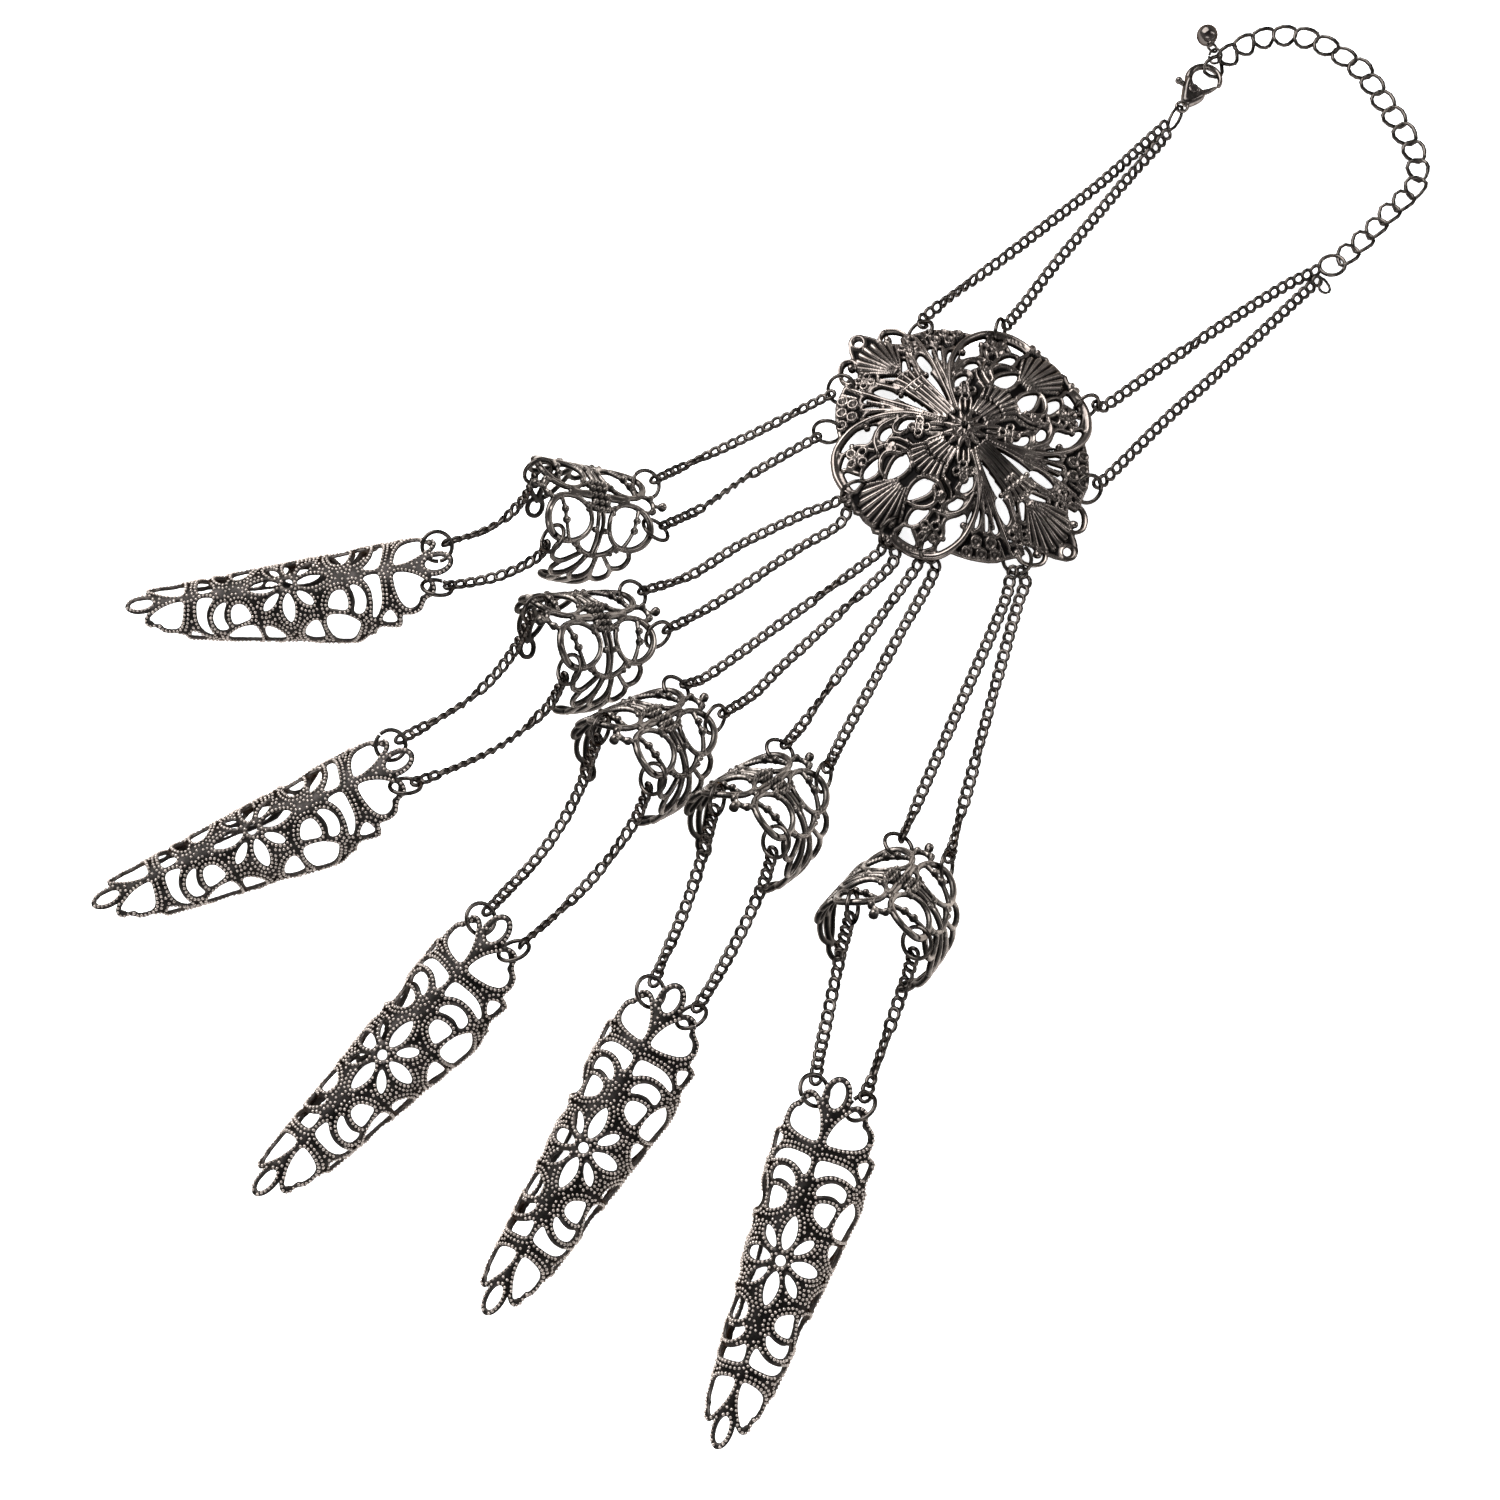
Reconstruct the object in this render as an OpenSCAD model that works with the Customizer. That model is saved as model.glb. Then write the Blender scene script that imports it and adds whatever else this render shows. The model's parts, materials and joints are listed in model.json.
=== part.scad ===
// Hand chain for one whole hand, laid out flat as it rests on a table.
// A domed openwork medallion lies on the back of the hand. Ten fine curb chains run from it to
// five openwork knuckle rings, and ten more from those to five long finger sheaths.
// Four strands, a hook clasp with a sprung lever and an extender chain close round the wrist.
// Millimetres. +Z is up and the table is z = 0. The sheaths point to -X and -Y.

/* [Medallion] */
// Diameter across the round rim
medallion_d = 50; // [48:0.5:52]
// Height of the dome above its rim
medallion_rise = 6; // [5:0.25:7]
// Thickness of the cast metal
medallion_wall = 0.9; // [0.8:0.05:1.1]
// Height of the rim's underside above the table
medallion_lift = 2.3; // [2.2:0.1:2.6]
// Distance of each of the two end holes from the middle
end_hole_reach = 28.9; // [28.5:0.1:29.3]
// Diameter of the two end holes
end_hole_d = 1.8; // [1.5:0.1:2]

/* [Knuckle rings] */
// Radius of the band, at mid thickness
band_r = 10.3; // [10.2:0.05:10.4]
// Thickness of the band
band_wall = 1; // [0.8:0.1:1.1]
// Radius of each of the four round loops, at mid wire
loop_r = 4.5; // [4.4:0.05:4.6]
// Width of the cast outlines
outline_w = 1.2; // [1:0.05:1.25]

/* [Finger sheaths] */
// Outer radius at the flower in the middle
sheath_r = 7.45; // [7.35:0.05:7.55]
// Growth of the radius per millimetre toward the hand
sheath_taper = 0.106; // [0.1:0.002:0.11]
// Thickness of the cast metal
sheath_wall = 1; // [0.8:0.1:1.1]
// Slope of the axis, down toward the tip
sheath_slope = 3.7; // [3.4:0.1:4]
// Height of the axis above the table, at the flower
sheath_axis_h = 5.22; // [5.2:0.01:5.3]
// Half of the angle that the wall wraps
sheath_wrap = 130; // [126:1:130]

/* [Chains and rings] */
// Outer diameter of a fine curb chain
chain_d = 2; // [1.8:0.1:2.1]
// Outer diameter of a jump ring
ring_od = 6; // [5.9:0.05:6.1]
// Wire of a jump ring
ring_wire = 0.75; // [0.65:0.05:0.8]
// Wire of the extender's links
link_wire = 0.55; // [0.5:0.05:0.6]
// Width of an extender link
link_w = 4; // [3.9:0.1:4.2]
// Diameter of the end ball
ball_d = 4.2; // [4:0.1:4.4]

/* [Clasp] */
// Outer radius of the hook
hook_r = 3.6; // [3.55:0.05:3.65]
// Width of the hook's wire
hook_wire = 0.9; // [0.8:0.05:0.95]
// Thickness of the clasp's shoulders
shoulder_h = 2.2; // [2.1:0.1:2.4]
// Thickness of the lever
lever_h = 0.9; // [0.8:0.05:0.95]
// Diameter of the lever's pin
pin_d = 0.8; // [0.7:0.05:0.85]

/* [Hidden] */
$fn = 48;

// Moves the layout so that the middle of its bounding box is the origin.
layout_shift = [-9.9, -17.1, 0];

metal = "dimgray";
dark_metal = "darkslategray";
tiny = 0.01;
through = 40;

// Turning and placing.
function unit(v) = v / norm(v);
function about_x(a, v) = [v.x, v.y * cos(a) - v.z * sin(a), v.y * sin(a) + v.z * cos(a)];
function about_y(a, v) = [v.x * cos(a) + v.z * sin(a), v.y, v.z * cos(a) - v.x * sin(a)];
function about_z(a, v) = [v.x * cos(a) - v.y * sin(a), v.x * sin(a) + v.y * cos(a), v.z];
function turned(v, roll, lift, heading) = about_z(heading, about_y(-lift, about_x(roll, v)));
function degrees_of(arc, r) = arc / r * 180 / PI;
function between(a, b, f) = a + (b - a) * f;

module laid_out() {
    translate(layout_shift)
        children();
}

// A flat lens with two pointed ends, along X.
module lens(long, wide) {
    arc_r = (long * long + wide * wide) / (4 * wide);
    intersection() {
        translate([0, arc_r - wide / 2])
            circle(arc_r);
        translate([0, wide / 2 - arc_r])
            circle(arc_r);
    }
}

// A wall of revolution about X. Its crown is at +Z. Each profile row is [along X, radius].
module wrapped(profile, from, sweep) {
    rotate([0, -90, 0])
        rotate([0, 0, from])
            rotate_extrude(angle = sweep)
                polygon([for (p = profile) [p.y, -p.x]]);
}

// Takes away what lies further round than half_angle, between two places along X.
module trimmed_sides(x_from, x_to, half_angle) {
    reach = 20;
    core = 1;
    wrapped([[x_from, core], [x_to, core], [x_to, reach], [x_from, reach]],
        half_angle, 360 - 2 * half_angle);
}

// A cut that points outward from the X axis, at an angle from the crown.
module radial_cut(along, angle, turn = 0) {
    cut_from = 2;
    cut_h = 12;
    rotate([-angle, 0, 0])
        translate([along, 0, cut_from])
            rotate([0, 0, turn])
                linear_extrude(cut_h)
                    children();
}

// Jump rings. A ring is [middle, direction of its axis].
MIDDLE = 0;
AXIS = 1;
ring_mean_r = (ring_od - ring_wire) / 2;
// Room between the middle of the metal that a ring goes round and the middle of the ring's wire.
hook_room = 1.45;
// How far a ring gives up leaning along the bar. At 1 it stays square to the bar.
ring_ease = 0.9;
// Distance from a ring's middle to the end of the chain that hangs on it.
chain_start = ring_od / 2 + 0.3;

// The ring goes round a bar at point hold, which runs along bar, and is pulled toward aim.
// A lean of 0 stands the ring square to the bar.
function ring_on(hold, bar, aim, lean, room = hook_room) =
    let (way = unit(aim - hold),
        pull = unit(way - ring_ease * (bar * way) * bar),
        offset = ring_mean_r - room / norm(cross(bar, pull)),
        square = unit(bar - (bar * pull) * pull),
        other = cross(pull, square))
    [hold + pull * offset, square * cos(lean) + other * sin(lean)];

function chain_end(ring, aim) = ring[MIDDLE] + unit(aim - ring[MIDDLE]) * chain_start;

module round_ring(ring, mean_r, wire) {
    axis = ring[AXIS];
    translate(ring[MIDDLE])
        rotate([0, acos(axis.z), atan2(axis.y, axis.x)])
            rotate_extrude()
                translate([mean_r, 0])
                    circle(wire / 2);
}

module jump_ring(ring) {
    round_ring(ring, ring_mean_r, ring_wire);
}

// Fine chains. Each is one tube of eight sides along its route.
tube_sides = 8;
ring_step = 5;
chain_r = chain_d / 2;
// Height of a fine chain's middle where it lies on the table.
table_z = chain_r + 0.1;

function refined(route) = [
    for (i = [0:len(route) - 2])
        let (parts = max(1, round(norm(route[i + 1] - route[i]) / ring_step)))
            for (k = [0:parts - 1]) between(route[i], route[i + 1], k / parts),
    route[len(route) - 1]];

function heading_at(route, i) =
    unit(route[min(i + 1, len(route) - 1)] - route[max(i - 1, 0)]);

function tube_points(route) = [
    for (i = [0:len(route) - 1])
        let (ahead = heading_at(route, i),
            side = unit(cross(ahead, [0, 0, 1])),
            top = cross(side, ahead))
            for (k = [0:tube_sides - 1])
                let (turn = (k + 0.5) * 360 / tube_sides)
                    route[i] + chain_r * (side * cos(turn) + top * sin(turn))];

function tube_faces(rings) = concat(
    [[for (k = [0:tube_sides - 1]) k]],
    [for (i = [0:rings - 2])
        for (k = [0:tube_sides - 1])
            let (next = (k + 1) % tube_sides, low = i * tube_sides, high = low + tube_sides)
                [low + k, high + k, high + next, low + next]],
    [[for (k = [tube_sides - 1:-1:0]) (rings - 1) * tube_sides + k]]);

module chain(route) {
    fine = refined(route);
    polyhedron(points = tube_points(fine), faces = tube_faces(len(fine)), convexity = 4);
}

// Medallion.
medallion_at = [39.4, 59.1];
// Direction of the first end hole, counted from +X. The second is opposite.
end_hole_turn = 131;
dome_r = (pow(medallion_d / 2, 2) + pow(medallion_rise, 2)) / (2 * medallion_rise);
dome_inner_r = dome_r - medallion_wall;
dome_mid_r = dome_r - medallion_wall / 2;
dome_z = medallion_lift - sqrt(pow(dome_inner_r, 2) - pow(medallion_d / 2, 2));
end_plate_z = medallion_lift - 0.3;
end_plate_r = 2.2;
hook_window_r = 2.2;
rim_half = 0.65;
notch_r = 3.4;
medallion_ring_lean = 28;
medallion_ring_room = 1.7;

// Where the jump rings go round the rim: direction, radius of the rim there.
TURN = 0;
REACH = 1;
medallion_hooks = [
    [152, 24.2],
    [173.5, 24.2],
    [206.7, 21.6],
    [232.6, 21.6],
    [251.8, 21.2],
    [292.2, 24.2],
    [106.3, 24.2],
    [71.1, 24.2],
    [18.8, 24.2],
    [338.8, 24.2]];

// Openings, each repeated in the four quarters about the line of the end holes:
// angle from that line, distance from the middle, length outward, width.
OFF = 0;
AT = 1;
LONG = 2;
WIDE = 3;
medallion_slots = [
    [10, 16.6, 3.6, 1.7],
    [24, 15.8, 4.4, 2],
    [16, 10.6, 3.4, 1.7],
    [40, 12.4, 3.2, 1.8],
    [47, 7, 1.9, 1.9],
    [58, 14.4, 2, 2],
    [76, 12.6, 2.2, 4.8]];
daisy_petals = 6;
daisy_reach = 2.7;
daisy_hole_r = 0.8;

function medallion_hold(i) =
    let (turn = medallion_hooks[i][TURN], reach = medallion_hooks[i][REACH])
    [medallion_at.x + reach * cos(turn), medallion_at.y + reach * sin(turn),
        dome_z + sqrt(pow(dome_mid_r, 2) - pow(reach, 2))];
function medallion_ring(i, aim) =
    let (turn = medallion_hooks[i][TURN])
    ring_on(medallion_hold(i), [-sin(turn), cos(turn), 0], aim, medallion_ring_lean, medallion_ring_room);

module medallion_openings() {
    for (slot = medallion_slots)
        for (half = [0, 180])
            for (side = [-1, 1])
                rotate(end_hole_turn + half + side * slot[OFF])
                    translate([slot[AT], 0])
                        square([slot[LONG], slot[WIDE]], center = true);
    for (i = [0:daisy_petals - 1])
        rotate(i * 360 / daisy_petals)
            translate([daisy_reach, 0])
                circle(daisy_hole_r);
    for (hook = medallion_hooks)
        rotate(hook[TURN])
            translate([hook[REACH] - rim_half - hook_window_r, 0])
                circle(hook_window_r);
}

module rim_notches() {
    for (hook = medallion_hooks)
        if (hook[REACH] + rim_half + 1 < medallion_d / 2)
            rotate(hook[TURN])
                translate([hook[REACH] + rim_half + notch_r, 0])
                    circle(notch_r);
}

module medallion() {
    neck_from = medallion_d / 2 - 1.2;
    neck_half = 2.6;
    color(metal)
        laid_out()
            translate(medallion_at)
                difference() {
                    union() {
                        difference() {
                            intersection() {
                                translate([0, 0, dome_z])
                                    sphere(dome_r, $fn = 96);
                                cylinder(h = through, r = medallion_d / 2, $fn = 96);
                            }
                            translate([0, 0, dome_z])
                                sphere(dome_inner_r, $fn = 96);
                            linear_extrude(through)
                                medallion_openings();
                            linear_extrude(through)
                                rim_notches();
                        }
                        for (half = [0, 180])
                            rotate(end_hole_turn + half)
                                translate([0, 0, end_plate_z])
                                    linear_extrude(medallion_wall)
                                        union() {
                                            polygon([[neck_from, -neck_half], [end_hole_reach, -end_plate_r],
                                                [end_hole_reach, end_plate_r], [neck_from, neck_half]]);
                                            translate([end_hole_reach, 0])
                                                circle(end_plate_r);
                                        }
                    }
                    for (half = [0, 180])
                        rotate(end_hole_turn + half)
                            translate([end_hole_reach, 0, 0])
                                cylinder(h = through, d = end_hole_d);
                }
}

// Finger sheaths: [x and y below the flower, heading toward the hand, roll, extra height].
SHEATH_AT = 0;
SHEATH_HEADING = 1;
SHEATH_ROLL = 2;
SHEATH_LIFT = 3;
sheaths = [
    [[-81.5, 26.5], 3.8, -4, 0],
    [[-84.1, -18.8], 22.8, -4, 0],
    [[-59.7, -57.1], 46.4, -4, 0],
    [[-26.3, -72.1], 58.4, -4, 0],
    [[5.9, -90], 69.3, -8, 0.4]];
sheath_end = 26.6;
end_loop_at = 28.4;
end_loop_r = 2.05;
taper_angle = atan(sheath_taper);

// The wall narrows in steps toward both ends. Each cut runs past the end of the wall, by a
// little more than the one before it: from, to, half width on the curve.
FROM = 0;
TO = 1;
HALF = 2;
hand_end_sides = [
    [24.1, 27, 6.2],
    [20.2, 27.5, 9.6],
    [14.6, 28, 12.9],
    [6, 28.5, 13.4]];
tip_end_sides = [
    [-27, -24.1, 6.2],
    [-27.5, -20.2, 9.6]];

// Pointed openings: along, round the curve, length, width, turn. Repeated in four quarters.
ROUND = 1;
LENS_LONG = 2;
LENS_WIDE = 3;
LENS_TURN = 4;
HOLE_R = 2;
sheath_lenses = [
    [16.5, 4.9, 6.2, 1.4, 90],
    [13.2, 3.9, 4.8, 2.2, 90],
    [9.6, 9, 6.2, 2.9, 0],
    [3.1, 3, 3.2, 1.6, 44]];
// Round openings: along, round the curve, radius. Repeated in four quarters.
sheath_holes = [
    [9.3, 4.2, 1.35],
    [3.9, 8.9, 1.1],
    [17.6, 10.7, 0.9]];
petal_at = 4.7;
petal_long = 5;
petal_wide = 2;
flower_hole_r = 0.9;
low_window_at = 12.8;
low_window_size = [5, 2.6];
// Outline of the half heart at each corner: along, round the curve.
heart_middle = [22.8, 5];
half_heart = [[20.9, 1.9], [24.6, 3.1], [25.4, 4.3], [25, 5], [23.2, 5.6], [22.4, 8.3], [20.9, 8.3]];
// Where the jump rings go round the corners of the hand end.
sheath_hook = [26, 4.4];

function sheath_r_at(along) = sheath_r + sheath_taper * along;
function on_sheath(i, along, round_by) =
    let (r = sheath_r_at(along) - sheath_wall / 2, angle = degrees_of(round_by, r), at = sheaths[i])
    [at[SHEATH_AT].x, at[SHEATH_AT].y, sheath_axis_h + at[SHEATH_LIFT]]
        + turned([along, r * sin(angle), r * cos(angle)],
            at[SHEATH_ROLL], sheath_slope, at[SHEATH_HEADING]);
function across_sheath(i, along, round_by) =
    unit(on_sheath(i, along, round_by + 0.1) - on_sheath(i, along, round_by));

module sheath_windows() {
    for (end = [-1, 1])
        for (side = [-1, 1]) {
            for (w = sheath_lenses)
                radial_cut(end * w.x, side * degrees_of(w[ROUND], sheath_r_at(end * w.x)),
                    end * side * w[LENS_TURN])
                    lens(w[LENS_LONG], w[LENS_WIDE]);
            for (w = sheath_holes)
                radial_cut(end * w.x, side * degrees_of(w[ROUND], sheath_r_at(end * w.x)))
                    circle(w[HOLE_R]);
            radial_cut(end * heart_middle.x,
                side * degrees_of(heart_middle.y, sheath_r_at(end * heart_middle.x)))
                polygon([for (p = half_heart)
                    [end * (p.x - heart_middle.x), side * (p.y - heart_middle.y)]]);
        }
    for (way = [-1, 1]) {
        radial_cut(way * petal_at, 0)
            lens(petal_long, petal_wide);
        radial_cut(0, way * degrees_of(petal_at, sheath_r), 90)
            lens(petal_long, petal_wide);
        radial_cut(0, way * degrees_of(low_window_at, sheath_r))
            lens(low_window_size.x, low_window_size.y);
    }
    radial_cut(0, 0)
        circle(flower_hole_r);
}

module sheath_shape() {
    tip_r = sheath_r_at(-sheath_end);
    base_r = sheath_r_at(sheath_end);
    difference() {
        wrapped([[-sheath_end, tip_r - sheath_wall], [sheath_end, base_r - sheath_wall],
            [sheath_end, base_r], [-sheath_end, tip_r]], -sheath_wrap, 2 * sheath_wrap);
        for (row = hand_end_sides)
            trimmed_sides(row[FROM], row[TO], degrees_of(row[HALF], sheath_r_at(row[FROM])));
        for (row = tip_end_sides)
            trimmed_sides(row[FROM], row[TO], degrees_of(row[HALF], sheath_r_at(row[TO])));
        sheath_windows();
    }
    for (end = [-1, 1])
        translate([end * end_loop_at, 0, sheath_r_at(end * end_loop_at) - sheath_wall / 2])
            rotate([0, -taper_angle, 0])
                rotate_extrude()
                    translate([end_loop_r, 0])
                        circle(outline_w / 2);
}

module finger_sheath(i) {
    at = sheaths[i];
    color(metal)
        laid_out()
            translate([at[SHEATH_AT].x, at[SHEATH_AT].y, sheath_axis_h + at[SHEATH_LIFT]])
                rotate([at[SHEATH_ROLL], -sheath_slope, at[SHEATH_HEADING]])
                    sheath_shape();
}

// Knuckle rings: [top of the crown, heading of the far edge, lift of the far edge, roll].
CROWN = 0;
KNUCKLE_HEADING = 1;
KNUCKLE_LIFT = 2;
KNUCKLE_ROLL = 3;
knuckles = [
    [[-26.7, 41.7, 17], 192, 41, 0],
    [[-26.3, 18.7, 16.75], 208, 43, 3],
    [[-15.4, -0.1, 16.5], 226, 44, 3],
    [[3.8, -11.5, 16.45], 230, 45, 8],
    [[25.3, -28.8, 16.45], 237, 45, 8]];
band_half = 12.2;
band_wrap = degrees_of(28.2, band_r);
// The band narrows in steps: from, to, half width on the curve.
knuckle_sides = [
    [6.6, 12.4, 9.4],
    [2.6, 6.6, 18.6]];
loop_at = [7, 4.2];
sprig_holes = [[1.5, 7.6, 0.8]];
middle_lenses = [
    [0, 14.6, 5.2, 1.7, 90],
    [0, 22, 5.8, 1.8, 90]];
side_lens = [3.2, 14.2, 4.6, 1.8, 66];
end_window_at = 26.1;
end_window_r = 1.3;
// Where the four jump rings go round the loops: along the finger, round the curve,
// and the direction of the wire there.
WIRE_WAY = 2;
knuckle_hooks = [
    [-11.45, -4.9, [0, 1]],
    [-11.5, 4.4, [0, 1]],
    [11.45, -4.9, [0, 1]],
    [8.6, 8.4, [0.93, -0.36]]];

function on_knuckle(i, along, round_by) =
    let (angle = degrees_of(round_by, band_r), at = knuckles[i])
    at[CROWN] + turned([along, band_r * sin(angle), band_r * (cos(angle) - 1)],
        at[KNUCKLE_ROLL], at[KNUCKLE_LIFT], at[KNUCKLE_HEADING]);
function knuckle_hold(i, n) = on_knuckle(i, knuckle_hooks[n].x, knuckle_hooks[n].y);
function knuckle_bar(i, n) =
    let (hook = knuckle_hooks[n], step = 0.1 * hook[WIRE_WAY])
    unit(on_knuckle(i, hook.x + step.x, hook.y + step.y) - knuckle_hold(i, n));
function knuckle_jump(i, n, aim) = ring_on(knuckle_hold(i, n), knuckle_bar(i, n), aim, 0);

module loop_corner(way) {
    spare = 1.2;
    difference() {
        translate([way.x > 0 ? 0 : -loop_r - spare, way.y > 0 ? 0 : -loop_r - spare])
            square(loop_r + spare);
        circle(loop_r + outline_w / 2);
    }
}

module knuckle_windows() {
    for (end = [-1, 1])
        for (side = [-1, 1]) {
            radial_cut(end * loop_at.x, side * degrees_of(loop_at.y, band_r))
                circle(loop_r - outline_w / 2 - 0.1);
            radial_cut(end * loop_at.x, side * degrees_of(loop_at.y, band_r))
                loop_corner([end, side]);
            for (w = sprig_holes)
                radial_cut(end * w.x, side * degrees_of(w.y, band_r))
                    circle(w[HOLE_R]);
            radial_cut(end * side_lens.x, side * degrees_of(side_lens[ROUND], band_r),
                end * side * side_lens[LENS_TURN])
                lens(side_lens[LENS_LONG], side_lens[LENS_WIDE]);
        }
    for (side = [-1, 1]) {
        for (w = middle_lenses)
            radial_cut(w.x, side * degrees_of(w[ROUND], band_r), w[LENS_TURN])
                lens(w[LENS_LONG], w[LENS_WIDE]);
        radial_cut(0, side * degrees_of(end_window_at, band_r))
            circle(end_window_r);
    }
}

module knuckle_ring(i) {
    at = knuckles[i];
    outer = band_r + band_wall / 2;
    inner = band_r - band_wall / 2;
    color(metal)
        laid_out()
            translate(at[CROWN])
                rotate([at[KNUCKLE_ROLL], -at[KNUCKLE_LIFT], at[KNUCKLE_HEADING]])
                    translate([0, 0, -band_r])
                        difference() {
                            wrapped([[-band_half, inner], [band_half, inner],
                                [band_half, outer], [-band_half, outer]], -band_wrap, 2 * band_wrap);
                            for (end = [-1, 1])
                                for (row = knuckle_sides)
                                    trimmed_sides(min(end * row[FROM], end * row[TO]),
                                        max(end * row[FROM], end * row[TO]), degrees_of(row[HALF], band_r));
                            knuckle_windows();
                        }
}

// Upper chains: medallion ring, knuckle ring, its hook, points between them on or near the table.
HOOK = 0;
KNUCKLE = 1;
KNUCKLE_HOOK = 2;
MIDWAY = 3;
upper_chains = [
    [0, 0, 0, [[1.9, 63.1, table_z], [-9.4, 56.7, 2]]],
    [1, 0, 1, [[5.6, 57.4, table_z], [-1.9, 52.5, table_z], [-9, 46.6, 2]]],
    [2, 1, 0, [[14.5, 47.6, table_z], [9.3, 45.5, table_z], [-1.8, 39.6, table_z], [-11, 32.8, 2.4]]],
    [2, 1, 1, [[16.5, 43.7, table_z], [9.2, 39, table_z], [-1.8, 31, table_z], [-8.4, 25.8, 2.6]]],
    [3, 2, 0, [[22.8, 37.3, table_z], [7, 25, table_z], [-7, 13.8, 2]]],
    [3, 2, 1, [[26, 35.6, table_z], [15, 24.7, table_z], [5, 14.8, table_z], [0.4, 9.6, 2.2]]],
    [4, 3, 0, [[29.8, 34, table_z], [22, 22.7, table_z], [13, 9.6, table_z], [9, 3.6, 2]]],
    [4, 3, 1, [[33.7, 34, table_z], [27, 21.5, table_z], [20, 8.4, table_z], [16, 0.6, 2.2]]],
    [5, 4, 0, [[47.3, 31.5, table_z], [45.5, 25.9, table_z], [33, -2.4, table_z], [28.6, -12.6, 2]]],
    [5, 4, 1, [[50.4, 31.5, table_z], [48.3, 25.9, table_z], [39, -6, table_z], [36, -16.2, 2.2]]]];

function first_aim(hook) =
    let (points = [for (row = upper_chains) if (row[HOOK] == hook) row[MIDWAY][0]])
    len(points) == 1 ? points[0] : (points[0] + points[1]) / 2;
function hook_ring(hook) = medallion_ring(hook, first_aim(hook));
function knuckle_near(n) =
    let (row = upper_chains[n], points = row[MIDWAY])
    knuckle_jump(row[KNUCKLE], row[KNUCKLE_HOOK], points[len(points) - 1]);
function upper_route(n) =
    let (row = upper_chains[n], points = row[MIDWAY])
    concat([chain_end(hook_ring(row[HOOK]), points[0])], points,
        [chain_end(knuckle_near(n), points[len(points) - 1])]);

module upper_chain(n) {
    color(dark_metal)
        laid_out()
            chain(upper_route(n));
}

// Lower chains hang between a knuckle ring and a sheath: finger, hook, side of the sheath, sag.
FINGER = 0;
FAR_HOOK = 1;
SHEATH_SIDE = 2;
SAG = 3;
lower_chains = [
    [0, 2, 1, 9.5],
    [0, 3, -1, 6.5],
    [1, 2, 1, 13],
    [1, 3, -1, 12],
    [2, 2, 1, 15.5],
    [2, 3, -1, 12],
    [3, 2, 1, 13],
    [3, 3, -1, 11],
    [4, 2, 1, 12],
    [4, 3, -1, 10]];
// The lowest point lies nearer to the knuckle ring than to the sheath.
sag_skew = 0.75;
sag_stops = [0.16, 0.24, 0.34, 0.45, 0.56, 0.67, 0.78];
start_aim = 0.1;
end_aim = 0.8;

function sheath_hold(row) = on_sheath(row[FINGER], sheath_hook.x, row[SHEATH_SIDE] * sheath_hook.y);
function sagging(row, f) =
    between(knuckle_hold(row[FINGER], row[FAR_HOOK]), sheath_hold(row), f)
        - [0, 0, row[SAG] * sin(180 * pow(f, sag_skew))];
function far_ring(row) = knuckle_jump(row[FINGER], row[FAR_HOOK], sagging(row, start_aim));
function sheath_ring(row) =
    ring_on(sheath_hold(row), across_sheath(row[FINGER], sheath_hook.x, row[SHEATH_SIDE] * sheath_hook.y),
        sagging(row, end_aim), 0);
function lower_route(n) =
    let (row = lower_chains[n])
    concat([chain_end(far_ring(row), sagging(row, start_aim))], [for (f = sag_stops) sagging(row, f)],
        [chain_end(sheath_ring(row), sagging(row, end_aim))]);

module lower_chain(n) {
    color(dark_metal)
        laid_out()
            chain(lower_route(n));
}

module knuckle_jump_rings(i) {
    color(dark_metal)
        laid_out() {
            jump_ring(knuckle_near(2 * i));
            jump_ring(knuckle_near(2 * i + 1));
            jump_ring(far_ring(lower_chains[2 * i]));
            jump_ring(far_ring(lower_chains[2 * i + 1]));
        }
}

module sheath_jump_rings(i) {
    color(dark_metal)
        laid_out() {
            jump_ring(sheath_ring(lower_chains[2 * i]));
            jump_ring(sheath_ring(lower_chains[2 * i + 1]));
        }
}

// Wrist chains: medallion ring and the points that the chain runs through.
POINTS = 1;
wrist_chains = [
    [6, [[33.4, 87.2], [39.3, 92.5], [48.8, 100.1], [58.5, 108.4], [68.5, 117], [79.4, 127.8],
        [81.1, 129.6]]],
    [7, [[52.5, 89.9], [58.8, 98.7], [65.7, 107.5], [73.7, 117.7], [80, 125.3], [82, 127.7]]],
    [8, [[67.5, 68.6], [82.7, 80.1], [100.9, 92.8], [109.3, 97.6]]],
    [9, [[66.6, 53.4], [78.1, 65.2], [90.9, 77.3], [103.8, 89.9], [109.4, 95.3]]]];

function wrist_points(n) = [for (p = wrist_chains[n][POINTS]) [p.x, p.y, table_z]];
function wrist_ring(n) = medallion_ring(wrist_chains[n][HOOK], wrist_points(n)[0]);

module wrist_chain(n) {
    color(dark_metal)
        laid_out()
            chain(concat([chain_end(wrist_ring(n), wrist_points(n)[0])], wrist_points(n)));
}

module medallion_jump_rings() {
    color(dark_metal)
        laid_out() {
            for (hook = [0:5])
                jump_ring(hook_ring(hook));
            for (n = [0:3])
                jump_ring(wrist_ring(n));
        }
}

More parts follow.
